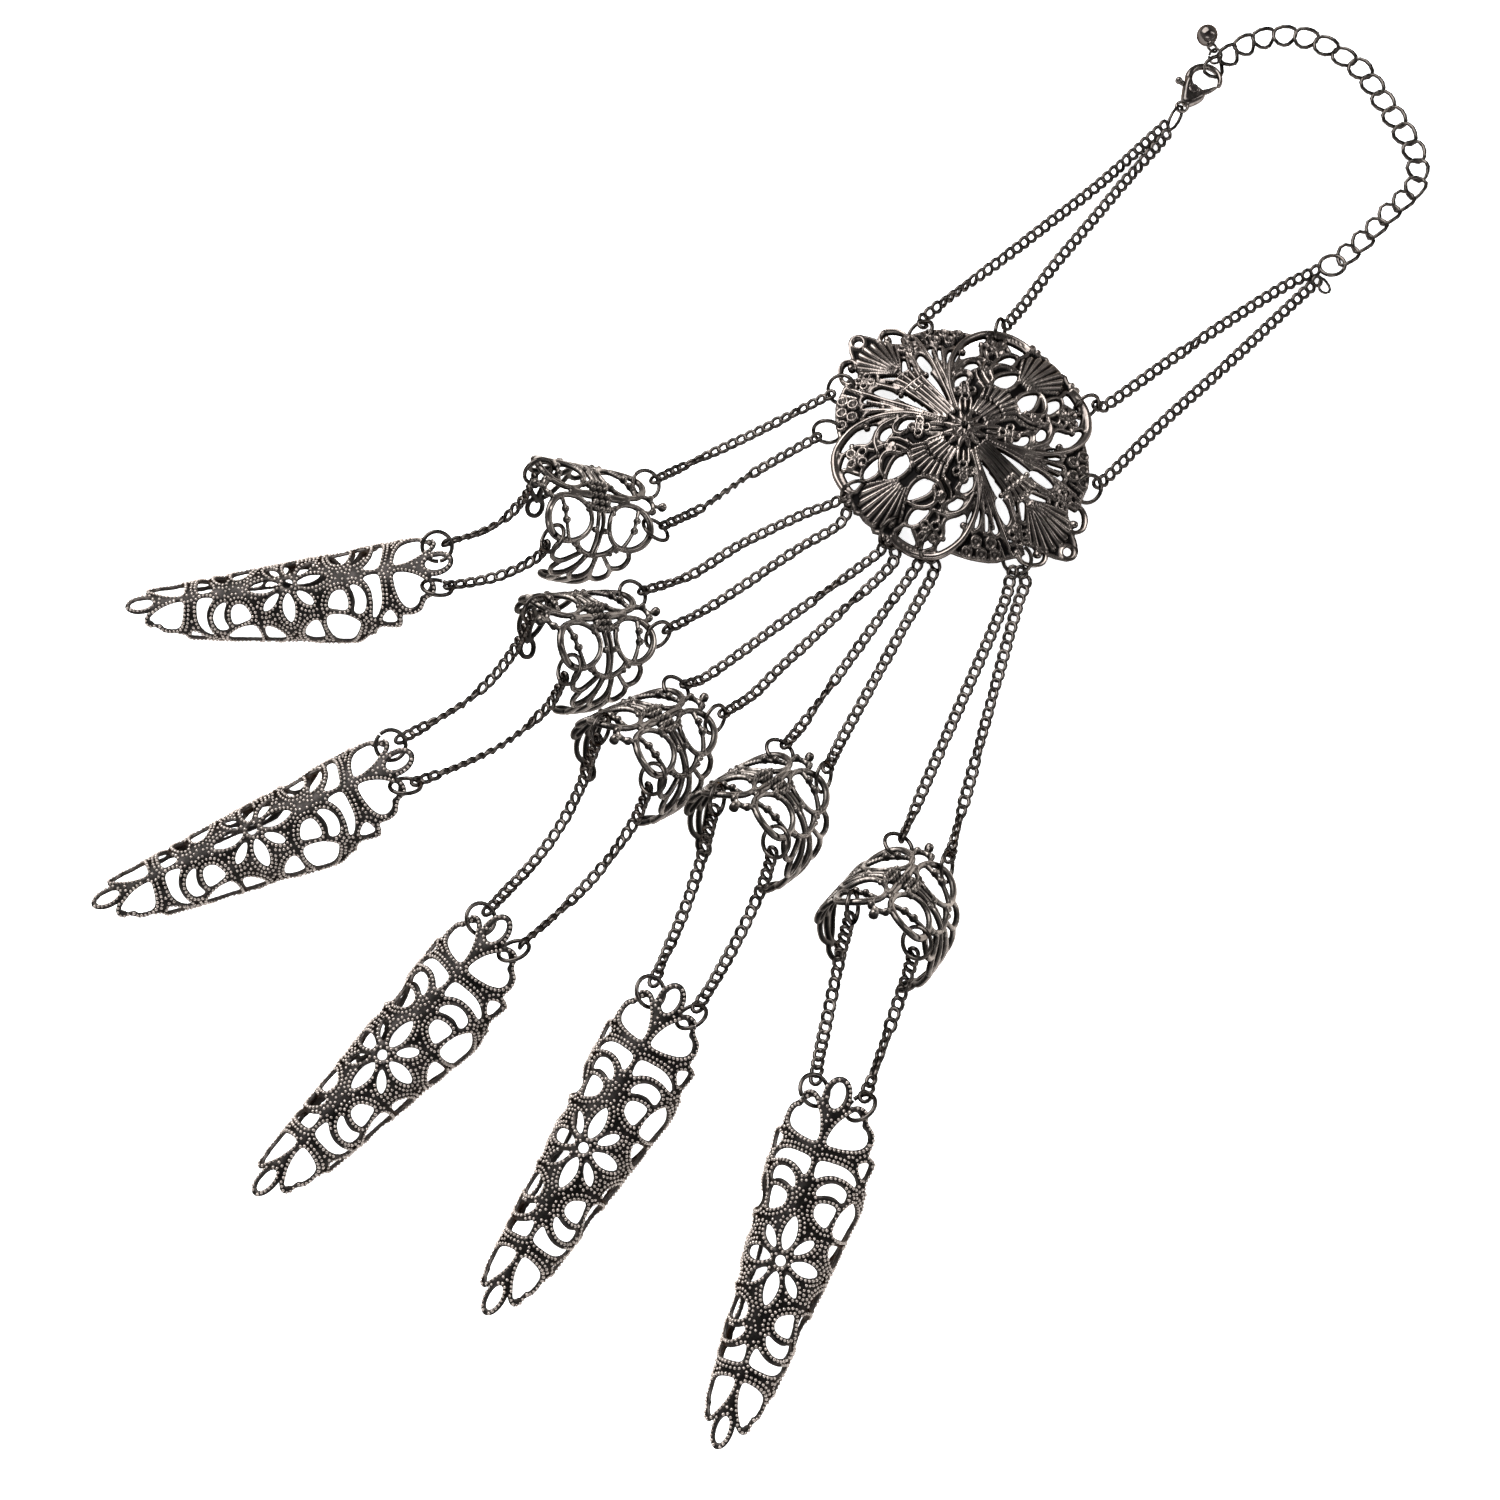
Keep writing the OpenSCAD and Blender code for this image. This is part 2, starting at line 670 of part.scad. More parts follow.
// Clasp. Its own X runs from the eye to the far end of the hook.
clasp_at = [85.9, 134.8];
clasp_heading = 48;
clasp_z = 1.55;
eye_outer_r = 1.4;
eye_hole_r = 0.85;
eye_h = 0.9;
hook_middle = [8, 0.6];
hook_h = 0.9;
hook_open_from = -74;
hook_sweep = 214;
pivot = [4.3, 0.6];
lever_hub_r = 0.85;
lever_clear = 0.1;
pin_clear = 0.05;
shoulder_outline = [[0.9, -0.8], [3, -1.9], [4.9, -1.9], [5.4, -0.4], [5.4, 1.6], [6.3, 2.3], [6.3, 3.5],
    [4.6, 3.2], [2.2, 2], [0.9, 0.8]];
lever_slot_outline = [[2.7, -3], [2.7, 5], [5.3, 5], [5.3, 1], [6.5, 0.6], [6.5, -3]];
thumb_tip = [4.5, 4.4];
gate_tip = [8.2, -2.35];

module clasp_placed() {
    laid_out()
        translate([clasp_at.x, clasp_at.y, clasp_z])
            rotate([0, 0, clasp_heading])
                children();
}

// A flat slab whose middle is at the clasp's height.
module slab(h) {
    translate([0, 0, -h / 2])
        linear_extrude(h)
            children();
}

// A straight arm of even width from one point to another.
module arm(from, to, wide) {
    way = to - from;
    translate(from)
        rotate(atan2(way.y, way.x))
            translate([0, -wide / 2])
                square([norm(way), wide]);
}

module clasp_body() {
    color(metal)
        clasp_placed() {
            difference() {
                union() {
                    slab(eye_h)
                        circle(eye_outer_r);
                    slab(shoulder_h)
                        polygon(shoulder_outline);
                }
                slab(shoulder_h + tiny)
                    circle(eye_hole_r);
                slab(lever_h + 2 * lever_clear)
                    polygon(lever_slot_outline);
            }
            translate([hook_middle.x, hook_middle.y, -hook_h / 2])
                rotate([0, 0, hook_open_from])
                    rotate_extrude(angle = hook_sweep)
                        translate([hook_r - hook_wire, 0])
                            square([hook_wire, hook_h]);
            translate([pivot.x, pivot.y, -shoulder_h / 2 + lever_clear])
                cylinder(h = shoulder_h - 2 * lever_clear, d = pin_d);
        }
}

module clasp_lever() {
    arm_w = 0.9;
    knob_r = 0.65;
    color(dark_metal)
        clasp_placed()
            slab(lever_h)
                difference() {
                    union() {
                        translate(pivot)
                            circle(lever_hub_r);
                        arm(pivot, thumb_tip, arm_w);
                        translate(thumb_tip)
                            circle(knob_r);
                        arm(pivot, gate_tip, arm_w);
                    }
                    translate(pivot)
                        circle(d = pin_d + 2 * pin_clear);
                }
}

// A flat oval link along X, rolled about its own length.
module oval_link(long, wide, wire, roll) {
    rotate([roll, 0, 0])
        translate([0, 0, -wire / 2])
            linear_extrude(wire)
                difference() {
                    stadium(long, wide);
                    stadium(long - 2 * wire, wide - 2 * wire);
                }
}

module stadium(long, wide) {
    straight = long - wide;
    square([straight, wide], center = true);
    for (end = [-1, 1])
        translate([end * straight / 2, 0])
            circle(wide / 2);
}

// The oval link between the wrist chains and the clasp's eye.
clasp_link_at = [84.4, 132.2, 1.55];
clasp_link_heading = 60;
clasp_link_size = [6.6, 3, 0.55];
clasp_link_roll = 68;

module clasp_link() {
    color(dark_metal)
        laid_out()
            translate(clasp_link_at)
                rotate([0, 0, clasp_link_heading])
                    oval_link(clasp_link_size.x, clasp_link_size.y, clasp_link_size.z, clasp_link_roll);
}

end_ring = [[112.6, 98.7, 1.3], unit([-0.2, 0.15, 1])];

module wrist_end_ring() {
    color(dark_metal)
        laid_out()
            jump_ring(end_ring);
}

// Extender: 20 links at even steps along a curve on the table.
extender_links = 20;
extender_z = 1.65;
extender_roll = 44;
extender_route = [[93.1, 144.2], [97.1, 147.7], [101.6, 150.5], [106.2, 151.6], [110.8, 151.5], [115, 149.8],
    [118.4, 147.2], [121.6, 144.6], [123.8, 141.2], [125.6, 137.2], [127.6, 133.2], [129.4, 129], [131, 125],
    [131.4, 121.2], [131.2, 117.6], [129.2, 114.2], [126.2, 111.6], [122.9, 108], [119.4, 104.2],
    [115.6, 100.6]];

function length_to(route, i) = i == 0 ? 0 : length_to(route, i - 1) + norm(route[i] - route[i - 1]);
function leg_with(route, distance, i = 0) =
    i >= len(route) - 2 || length_to(route, i + 1) >= distance ? i : leg_with(route, distance, i + 1);
function point_at(route, distance) =
    let (i = leg_with(route, distance))
    between(route[i], route[i + 1], (distance - length_to(route, i)) / norm(route[i + 1] - route[i]));

extender_length = length_to(extender_route, len(extender_route) - 1);
extender_pitch = extender_length / (extender_links - 1);
// Neighbouring links touch by a hair, so that the extender is one piece.
link_long = extender_pitch + 2 * link_wire - 0.15;

module extender_chain() {
    color(dark_metal)
        laid_out()
            for (i = [0:extender_links - 1]) {
                here = point_at(extender_route, i * extender_pitch);
                before = point_at(extender_route, max(0, i - 0.5) * extender_pitch);
                after = point_at(extender_route, min(extender_links - 1, i + 0.5) * extender_pitch);
                way = after - before;
                translate([here.x, here.y, extender_z])
                    rotate([0, 0, atan2(way.y, way.x)])
                        oval_link(link_long, link_w, link_wire, i % 2 == 0 ? extender_roll : -extender_roll);
            }
}

// The ball on the extender's free end, its eye, and the small ring that carries it.
drop_wire = 0.5;
drop_ring_r = 1.65;
drop_ring_at = [[93.3, 146.4, 2.1], unit([0.7, 0.4, -0.7])];
ball_eye_r = 1.35;
ball_eye = [[92.8, 148.4, 2.2], unit([0.4, 0.1, 0.9])];
ball_at = [92, 151.4, ball_d / 2 + 0.05];

module drop_ring() {
    color(dark_metal)
        laid_out()
            round_ring(drop_ring_at, drop_ring_r, drop_wire);
}

module ball_drop() {
    color(metal)
        laid_out() {
            translate(ball_at)
                sphere(d = ball_d);
            round_ring(ball_eye, ball_eye_r, drop_wire);
        }
}

medallion();
finger_sheath(0);  // finger_sheath_1
finger_sheath(1);  // finger_sheath_2
finger_sheath(2);  // finger_sheath_3
finger_sheath(3);  // finger_sheath_4
finger_sheath(4);  // finger_sheath_5
knuckle_ring(0);  // knuckle_ring_1
knuckle_ring(1);  // knuckle_ring_2
knuckle_ring(2);  // knuckle_ring_3
knuckle_ring(3);  // knuckle_ring_4
knuckle_ring(4);  // knuckle_ring_5
upper_chain(0);  // upper_chain_1a
upper_chain(1);  // upper_chain_1b
upper_chain(2);  // upper_chain_2a
upper_chain(3);  // upper_chain_2b
upper_chain(4);  // upper_chain_3a
upper_chain(5);  // upper_chain_3b
upper_chain(6);  // upper_chain_4a
upper_chain(7);  // upper_chain_4b
upper_chain(8);  // upper_chain_5a
upper_chain(9);  // upper_chain_5b
lower_chain(0);  // lower_chain_1a
lower_chain(1);  // lower_chain_1b
lower_chain(2);  // lower_chain_2a
lower_chain(3);  // lower_chain_2b
lower_chain(4);  // lower_chain_3a
lower_chain(5);  // lower_chain_3b
lower_chain(6);  // lower_chain_4a
lower_chain(7);  // lower_chain_4b
lower_chain(8);  // lower_chain_5a
lower_chain(9);  // lower_chain_5b
wrist_chain(0);  // wrist_chain_1
wrist_chain(1);  // wrist_chain_2
wrist_chain(2);  // wrist_chain_3
wrist_chain(3);  // wrist_chain_4
medallion_jump_rings();
knuckle_jump_rings(0);  // knuckle_jump_rings_1
knuckle_jump_rings(1);  // knuckle_jump_rings_2
knuckle_jump_rings(2);  // knuckle_jump_rings_3
knuckle_jump_rings(3);  // knuckle_jump_rings_4
knuckle_jump_rings(4);  // knuckle_jump_rings_5
sheath_jump_rings(0);  // sheath_jump_rings_1
sheath_jump_rings(1);  // sheath_jump_rings_2
sheath_jump_rings(2);  // sheath_jump_rings_3
sheath_jump_rings(3);  // sheath_jump_rings_4
sheath_jump_rings(4);  // sheath_jump_rings_5
clasp_body();
clasp_lever();
clasp_link();
wrist_end_ring();
extender_chain();
drop_ring();
ball_drop();
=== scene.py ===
import json
import math

import bmesh
import bpy
import numpy as np
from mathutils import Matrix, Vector

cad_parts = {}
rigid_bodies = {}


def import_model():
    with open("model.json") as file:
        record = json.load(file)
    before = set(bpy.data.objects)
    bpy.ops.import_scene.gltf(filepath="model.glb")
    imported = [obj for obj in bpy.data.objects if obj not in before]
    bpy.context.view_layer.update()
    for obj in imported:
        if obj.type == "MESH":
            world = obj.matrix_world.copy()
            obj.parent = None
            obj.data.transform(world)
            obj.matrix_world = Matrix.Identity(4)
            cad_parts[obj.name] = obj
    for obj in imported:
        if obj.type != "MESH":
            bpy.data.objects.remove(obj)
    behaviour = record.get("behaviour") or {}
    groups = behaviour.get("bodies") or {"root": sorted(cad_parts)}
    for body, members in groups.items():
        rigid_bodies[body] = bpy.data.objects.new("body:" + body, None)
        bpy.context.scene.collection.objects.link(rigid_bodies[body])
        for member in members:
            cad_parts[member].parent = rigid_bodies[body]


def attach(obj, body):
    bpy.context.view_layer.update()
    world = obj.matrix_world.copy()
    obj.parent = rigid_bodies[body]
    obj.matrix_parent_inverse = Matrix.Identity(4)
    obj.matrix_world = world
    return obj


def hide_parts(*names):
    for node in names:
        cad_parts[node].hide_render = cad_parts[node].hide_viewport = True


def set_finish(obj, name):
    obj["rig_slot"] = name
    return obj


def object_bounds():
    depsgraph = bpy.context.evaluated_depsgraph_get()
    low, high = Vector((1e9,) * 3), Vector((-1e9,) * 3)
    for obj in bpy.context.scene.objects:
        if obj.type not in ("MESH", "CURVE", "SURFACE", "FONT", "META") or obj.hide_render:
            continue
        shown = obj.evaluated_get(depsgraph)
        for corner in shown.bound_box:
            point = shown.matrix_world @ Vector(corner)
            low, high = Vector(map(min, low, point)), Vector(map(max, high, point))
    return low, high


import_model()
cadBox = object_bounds()
mm = 0.001
layoutShift = np.array([-9.9, -17.1, 0.0])  # the same move that centres the CAD layout
print("frame loaded")


# Shared geometry helpers. Sizes are millimetres until a mesh is made.
def unit(v):
    v = np.asarray(v, float)
    return v / np.maximum(np.linalg.norm(v, axis=-1, keepdims=True), 1e-9)


def direction(degrees):
    return np.array([math.cos(math.radians(degrees)), math.sin(math.radians(degrees))])


def fromPoint(points, *middle):
    return np.linalg.norm(points - np.array(middle), axis=1)


def turned(points, roll, lift, heading):
    x, y, z = np.atleast_2d(np.asarray(points, float)).T
    a, b, c = (math.radians(v) for v in (roll, -lift, heading))
    y, z = y * math.cos(a) - z * math.sin(a), y * math.sin(a) + z * math.cos(a)
    x, z = x * math.cos(b) + z * math.sin(b), z * math.cos(b) - x * math.sin(b)
    x, y = x * math.cos(c) - y * math.sin(c), x * math.sin(c) + y * math.cos(c)
    return np.stack([x, y, z], axis=1)


def smoothPath(points, step, closed=False):
    pts = np.asarray(points, float)
    n = len(pts)
    out = []
    for i in range(n if closed else n - 1):
        if closed:
            a, b, c, d = (pts[(i + k) % n] for k in (-1, 0, 1, 2))
        else:
            b, c = pts[i], pts[i + 1]
            a = pts[i - 1] if i > 0 else 2 * b - c
            d = pts[i + 2] if i + 2 < n else 2 * c - b
        parts = max(1, int(np.linalg.norm(c - b) / step + 0.5))
        for k in range(parts):
            t = k / parts
            out.append(0.5 * (2 * b + (c - a) * t + (2 * a - 5 * b + 4 * c - d) * t * t
                              + (3 * b - a - 3 * c + d) * t ** 3))
    if not closed:
        out.append(pts[-1])
    return np.array(out)


def evenly(path, count):
    path = np.asarray(path, float)
    run = np.r_[0, np.cumsum(np.linalg.norm(np.diff(path, axis=0), axis=1))]
    at = np.linspace(0, run[-1], count)
    return np.stack([np.interp(at, run, path[:, k]) for k in range(path.shape[1])], axis=1)


def linked(name, data):
    thing = bpy.data.objects.new(name, data)
    bpy.context.scene.collection.objects.link(thing)
    return thing


def shadeSmooth(mesh):
    if len(mesh.polygons):
        mesh.polygons.foreach_set("use_smooth", [True] * len(mesh.polygons))


def meshObject(name, points, faces, edges=()):
    mesh = bpy.data.meshes.new(name)
    points = (np.asarray(points, float) + layoutShift) * mm
    mesh.from_pydata(points.tolist(), [tuple(e) for e in edges], [tuple(f) for f in faces])
    mesh.validate()
    shadeSmooth(mesh)
    mesh.update()
    return linked(name, mesh)


def mark(piece, label, values, kind="FLOAT"):
    # a value at each point, which a material or a node tree reads
    field = "value" if kind == "FLOAT" else "vector"
    piece.data.attributes.new(label, kind, "POINT").data.foreach_set(field, values)


def joined(name, pieces):
    mesh = bpy.data.meshes.new(name)
    points, faces, slots, materials, start = [], [], [], [], 0
    for piece in pieces:
        old = piece.data
        co = np.empty(len(old.vertices) * 3)
        old.vertices.foreach_get("co", co)
        points.append(co.reshape(-1, 3))
        for m in old.materials:
            if m not in materials:
                materials.append(m)
        for poly in old.polygons:
            faces.append([start + v for v in poly.vertices])
            slots.append(materials.index(old.materials[poly.material_index]))
        start += len(old.vertices)
        bpy.data.objects.remove(piece)
    mesh.from_pydata(np.concatenate(points).tolist(), [], faces)
    for m in materials:
        mesh.materials.append(m)
    mesh.polygons.foreach_set("material_index", slots)
    shadeSmooth(mesh)
    mesh.update()
    return linked(name, mesh)


# Materials. Plated zinc alloy, nearly black, with brighter metal where edges have been rubbed.
def toLinear(hexColour):
    parts = [int(hexColour[i:i + 2], 16) / 255 for i in (1, 3, 5)]
    return tuple(c / 12.92 if c <= 0.04045 else ((c + 0.055) / 1.055) ** 2.4 for c in parts) + (1.0,)


def addNode(tree, kind, inputs=None, **settings):
    # an input takes a value, a socket, or another node, and then it uses that node's first output
    node = tree.nodes.new(kind)
    for key, value in settings.items():
        setattr(node, key, value)
    for key, value in (inputs or {}).items():
        if isinstance(value, bpy.types.Node):
            value = value.outputs[0]
        if isinstance(value, bpy.types.NodeSocket):
            tree.links.new(value, node.inputs[key])
        else:
            node.inputs[key].default_value = value
    return node


def emptyTree(owner):
    owner.use_nodes = True
    owner.node_tree.nodes.clear()
    return owner.node_tree


def platedMetal(name, look):
    material = bpy.data.materials.new(name)
    tree = emptyTree(material)
    place = addNode(tree, "ShaderNodeTexCoord").outputs["Object"]
    cloud = addNode(tree, "ShaderNodeTexNoise",
                    {"Vector": place, "Scale": look["cloudScale"], "Detail": 4.0, "Roughness": 0.6})
    grain = addNode(tree, "ShaderNodeTexNoise",
                    {"Vector": place, "Scale": look["grainScale"], "Detail": 3.0, "Roughness": 0.7})
    tone = addNode(tree, "ShaderNodeValToRGB", {"Fac": cloud})
    ramp = tone.color_ramp.elements
    ramp[0].position, ramp[0].color = 0.32, toLinear(look["dark"])
    ramp[1].position, ramp[1].color = 0.7, toLinear(look["light"])
    ramp.new(0.5).color = toLinear(look["main"])
    # rubbed edges: bright where the mesh turns outward
    bend = addNode(tree, "ShaderNodeNewGeometry").outputs["Pointiness"]
    edge = addNode(tree, "ShaderNodeMapRange", {"Value": bend, "From Min": look["edgeFrom"],
        "From Max": look["edgeTo"], "To Max": look["edgeWear"]})
    colour = addNode(tree, "ShaderNodeMixRGB",
                     {"Fac": edge, "Color1": tone, "Color2": toLinear(look["rubbed"])})
    dullest = look["roughness"][1]
    rough = addNode(tree, "ShaderNodeMapRange", {"Value": grain, "From Min": 0.3, "From Max": 0.7,
        "To Min": look["roughness"][0], "To Max": dullest})
    if "paintedShade" in look:  # painted shade in the hollows and at the feet of the wires, painted highlight on the tops of ridges and wires
        raised = addNode(tree, "ShaderNodeAttribute", attribute_name="raised").outputs["Fac"]
        highlightShare = addNode(tree, "ShaderNodeMapRange",
                        {"Value": raised, "From Min": 0.15, "From Max": look["fullHighlightAt"]})
        colour = addNode(tree, "ShaderNodeMixRGB",
                         {"Fac": highlightShare, "Color1": toLinear(look["paintedShade"]), "Color2": colour})
        rough = addNode(tree, "ShaderNodeMapRange", {"Value": highlightShare, "To Min": 0.5, "To Max": rough})
    bump = addNode(tree, "ShaderNodeBump",
                   {"Height": grain, "Strength": look["bump"], "Distance": look["bumpDepth"] * mm})
    shader = addNode(tree, "ShaderNodeBsdfPrincipled",
                     {"Base Color": colour, "Metallic": 1.0, "Roughness": rough,
                      "Specular Tint": toLinear(look["sides"]), "Normal": bump})
    addNode(tree, "ShaderNodeOutputMaterial", {"Surface": shader})
    return material


# dark, main, light: cloudy tones. rubbed: the edges. sides: the tint seen at a glancing angle. A look that
# has a shade colour paints that shade into the hollows and at the feet of the wires, and its tones become a
# painted highlight on the tops, full from the given share up.
# beadLook is light and castLook near black: lit and shaded copies of one plating, a painted highlight on the
# bead tops and painted shade on the lace between them
beadLook = dict(dark="#756e68", main="#968d87", light="#afa69f", rubbed="#cfc5be", sides="#fff8f2",
                cloudScale=420, grainScale=2600, roughness=(0.2, 0.34), bump=0.15, bumpDepth=0.03,
                edgeFrom=0.55, edgeTo=0.8, edgeWear=0.3)
castLook = dict(dark="#171615", main="#211f1e", light="#2e2b2a", rubbed="#4b4643", sides="#a8a29c",
                cloudScale=420, grainScale=2600, roughness=(0.32, 0.5), bump=0.35, bumpDepth=0.04,
                edgeFrom=0.54, edgeTo=0.72, edgeWear=0.5)
smoothLook = dict(dark="#3f3b38", main="#5a5450", light="#7d7670", rubbed="#c9c0b9", sides="#f2ebe5",
                  cloudScale=260, grainScale=2200, roughness=(0.09, 0.17), bump=0.06, bumpDepth=0.03,
                  edgeFrom=0.54, edgeTo=0.75, edgeWear=0.2, paintedShade="#141312", fullHighlightAt=0.95)
medallionLook = dict(dark="#494441", main="#645d59", light="#857d77", rubbed="#b0a7a1", sides="#c2bbb5",
                     cloudScale=200, grainScale=1800, roughness=(0.14, 0.24), bump=0.05, bumpDepth=0.03,
                     edgeFrom=0.55, edgeTo=0.8, edgeWear=0.1, paintedShade="#0f0e0e", fullHighlightAt=0.9)
glossLook = dict(dark="#3a3634", main="#4f4a47", light="#66605c", rubbed="#958c86", sides="#8f8984",
                 cloudScale=260, grainScale=1800, roughness=(0.12, 0.22), bump=0.05, bumpDepth=0.03,
                 edgeFrom=0.52, edgeTo=0.66, edgeWear=0.4)
wireLook = dict(dark="#2e2b29", main="#403c39", light="#544e4a", rubbed="#7a726c", sides="#68635f",
                cloudScale=500, grainScale=3000, roughness=(0.16, 0.28), bump=0.1, bumpDepth=0.03,
                edgeFrom=0.6, edgeTo=0.9, edgeWear=0.4)
pittedCast = platedMetal("blackNickelCast", castLook)  # dull lace between the beads, painted near black as shade
seedCast = platedMetal("blackNickelBeads", beadLook)  # bead tops, painted light as a highlight over the lace
smoothCast = platedMetal("blackNickelSmooth", smoothLook)  # dark glossy knuckle wires, painted shade at their feet and painted highlight along their middles
reliefCast = platedMetal("blackNickelRelief", medallionLook)  # grey ridges with a painted highlight on their tops, over hollows painted nearly black as shade
glossCast = platedMetal("blackNickelPolished", glossLook)  # near mirror, dark, on the clasp and ball
drawnWire = platedMetal("blackNickelWire", wireLook)  # dark wire with a narrow light along each link
print("metals ready")


# Geometry Nodes helpers
def newTree(name, sizes):
    tree = bpy.data.node_groups.new(name, "GeometryNodeTree")
    tree.interface.new_socket("Geometry", in_out="INPUT", socket_type="NodeSocketGeometry")
    for label, (kind, value) in {**sizes, "Material": ("Material", None)}.items():
        socket = tree.interface.new_socket(label, in_out="INPUT", socket_type="NodeSocket" + kind)
        if value is not None:
            socket.default_value = value
    tree.interface.new_socket("Geometry", in_out="OUTPUT", socket_type="NodeSocketGeometry")
    return tree, addNode(tree, "NodeGroupInput").outputs


def closeTree(tree, geometry, material):
    real = addNode(tree, "GeometryNodeRealizeInstances", {"Geometry": geometry})
    finish = addNode(tree, "GeometryNodeSetMaterial", {"Geometry": real, "Material": material})
    addNode(tree, "NodeGroupOutput", {"Geometry": finish})
    return tree


def growMesh(piece, tree, sizes, material):
    modifier = piece.modifiers.new("grow", "NODES")
    modifier.node_group = tree
    ids = {s.name: s.identifier for s in tree.interface.items_tree
           if s.item_type == "SOCKET" and s.in_out == "INPUT"}
    for label, value in sizes.items():
        modifier[ids[label]] = value
    modifier[ids["Material"]] = material
    mesh = bpy.data.meshes.new_from_object(piece.evaluated_get(bpy.context.evaluated_depsgraph_get()))
    mesh.name = piece.name
    piece.modifiers.remove(modifier)
    piece.data = mesh
    shadeSmooth(mesh)
    return piece


def beadTree():
    tree, given = newTree("seedBeads", {"Bead Radius": ("Float", 0.0003), "Seed": ("Int", 7)})
    bead = addNode(tree, "GeometryNodeMeshIcoSphere", {"Radius": given["Bead Radius"], "Subdivisions": 1})
    size = addNode(tree, "GeometryNodeInputNamedAttribute", {"Name": "beadSize"}, data_type="FLOAT")
    spin = addNode(tree, "FunctionNodeRandomValue", {"Min": (0, 0, 0), "Max": (6.2, 6.2, 6.2),
        "Seed": given["Seed"]}, data_type="FLOAT_VECTOR")
    put = addNode(tree, "GeometryNodeInstanceOnPoints",
                  {"Points": given["Geometry"], "Instance": bead, "Rotation": spin, "Scale": size})
    return closeTree(tree, put, given["Material"])


def linkTree():
    tree, given = newTree("curbChain", {
        "Pitch": ("Float", 0.0018), "Half Size": ("Vector", (0.001, 0.001, 0.0003)),
        "Wire Radius": ("Float", 0.0003), "Narrowing": ("Float", 0.0), "Yaw": ("Float", 0.3),
        "Least Roll": ("Float", 0.3), "Most Roll": ("Float", 0.6), "Standing": ("Float", 0.0),
        "Seed": ("Int", 3)})
    ring = addNode(tree, "GeometryNodeCurvePrimitiveCircle", {"Resolution": 12, "Radius": 1.0})
    here = addNode(tree, "GeometryNodeInputPosition")
    x, y, _ = addNode(tree, "ShaderNodeSeparateXYZ", {"Vector": here}).outputs
    # pear shape: narrower towards the leading end, and twisted as a curb link is
    share = addNode(tree, "ShaderNodeMath", {0: x, 1: given["Narrowing"], 2: 1.0}, operation="MULTIPLY_ADD")
    across = addNode(tree, "ShaderNodeMath", {0: y, 1: share}, operation="MULTIPLY")
    saddle = addNode(tree, "ShaderNodeMath", {0: x, 1: y}, operation="MULTIPLY")
    spot = addNode(tree, "ShaderNodeCombineXYZ", {"X": x, "Y": across, "Z": saddle})
    sized = addNode(tree, "ShaderNodeVectorMath", {0: spot, 1: given["Half Size"]}, operation="MULTIPLY")
    shaped = addNode(tree, "GeometryNodeSetPosition", {"Geometry": ring, "Position": sized})
    wire = addNode(tree, "GeometryNodeCurvePrimitiveCircle",
                   {"Resolution": 6, "Radius": given["Wire Radius"]})
    link = addNode(tree, "GeometryNodeCurveToMesh", {"Curve": shaped, "Profile Curve": wire})
    route = addNode(tree, "GeometryNodeMeshToCurve", {"Mesh": given["Geometry"]})
    spaced = {"Curve": route, "Length": given["Pitch"]}
    steps = addNode(tree, "GeometryNodeResampleCurve", spaced, mode="LENGTH")
    along = addNode(tree, "GeometryNodeInputTangent")
    ahead = addNode(tree, "FunctionNodeAlignRotationToVector", {"Vector": along}, axis="X")
    level = addNode(tree, "FunctionNodeAlignRotationToVector",
                    {"Rotation": ahead, "Vector": (0, 0, 1)}, axis="Z", pivot_axis="X")
    roll = addNode(tree, "FunctionNodeRandomValue",
                   {2: given["Least Roll"], 3: given["Most Roll"], "Seed": given["Seed"]}, data_type="FLOAT")
    # here and there a few links in a row are twisted up on edge
    drift = addNode(tree, "ShaderNodeTexNoise", {"Vector": here, "Scale": 75.0, "Detail": 0.0})
    twist = addNode(tree, "ShaderNodeMapRange",
                    {"Value": drift, "From Min": 0.56, "From Max": 0.68, "To Max": given["Standing"]})
    lean = addNode(tree, "ShaderNodeMath", {0: roll.outputs[1], 1: twist}, operation="ADD")
    aboutX = addNode(tree, "FunctionNodeAxisAngleToRotation", {"Axis": (1, 0, 0), "Angle": lean})
    aboutZ = addNode(tree, "FunctionNodeAxisAngleToRotation", {"Axis": (0, 0, 1), "Angle": given["Yaw"]})
    turn = level
    for about in (aboutZ, aboutX):
        turn = addNode(tree, "FunctionNodeRotateRotation",
                       {"Rotation": turn, "Rotate By": about}, rotation_space="LOCAL")
    put = addNode(tree, "GeometryNodeInstanceOnPoints",
                  {"Points": steps, "Instance": link, "Rotation": turn})
    return closeTree(tree, put, given["Material"])


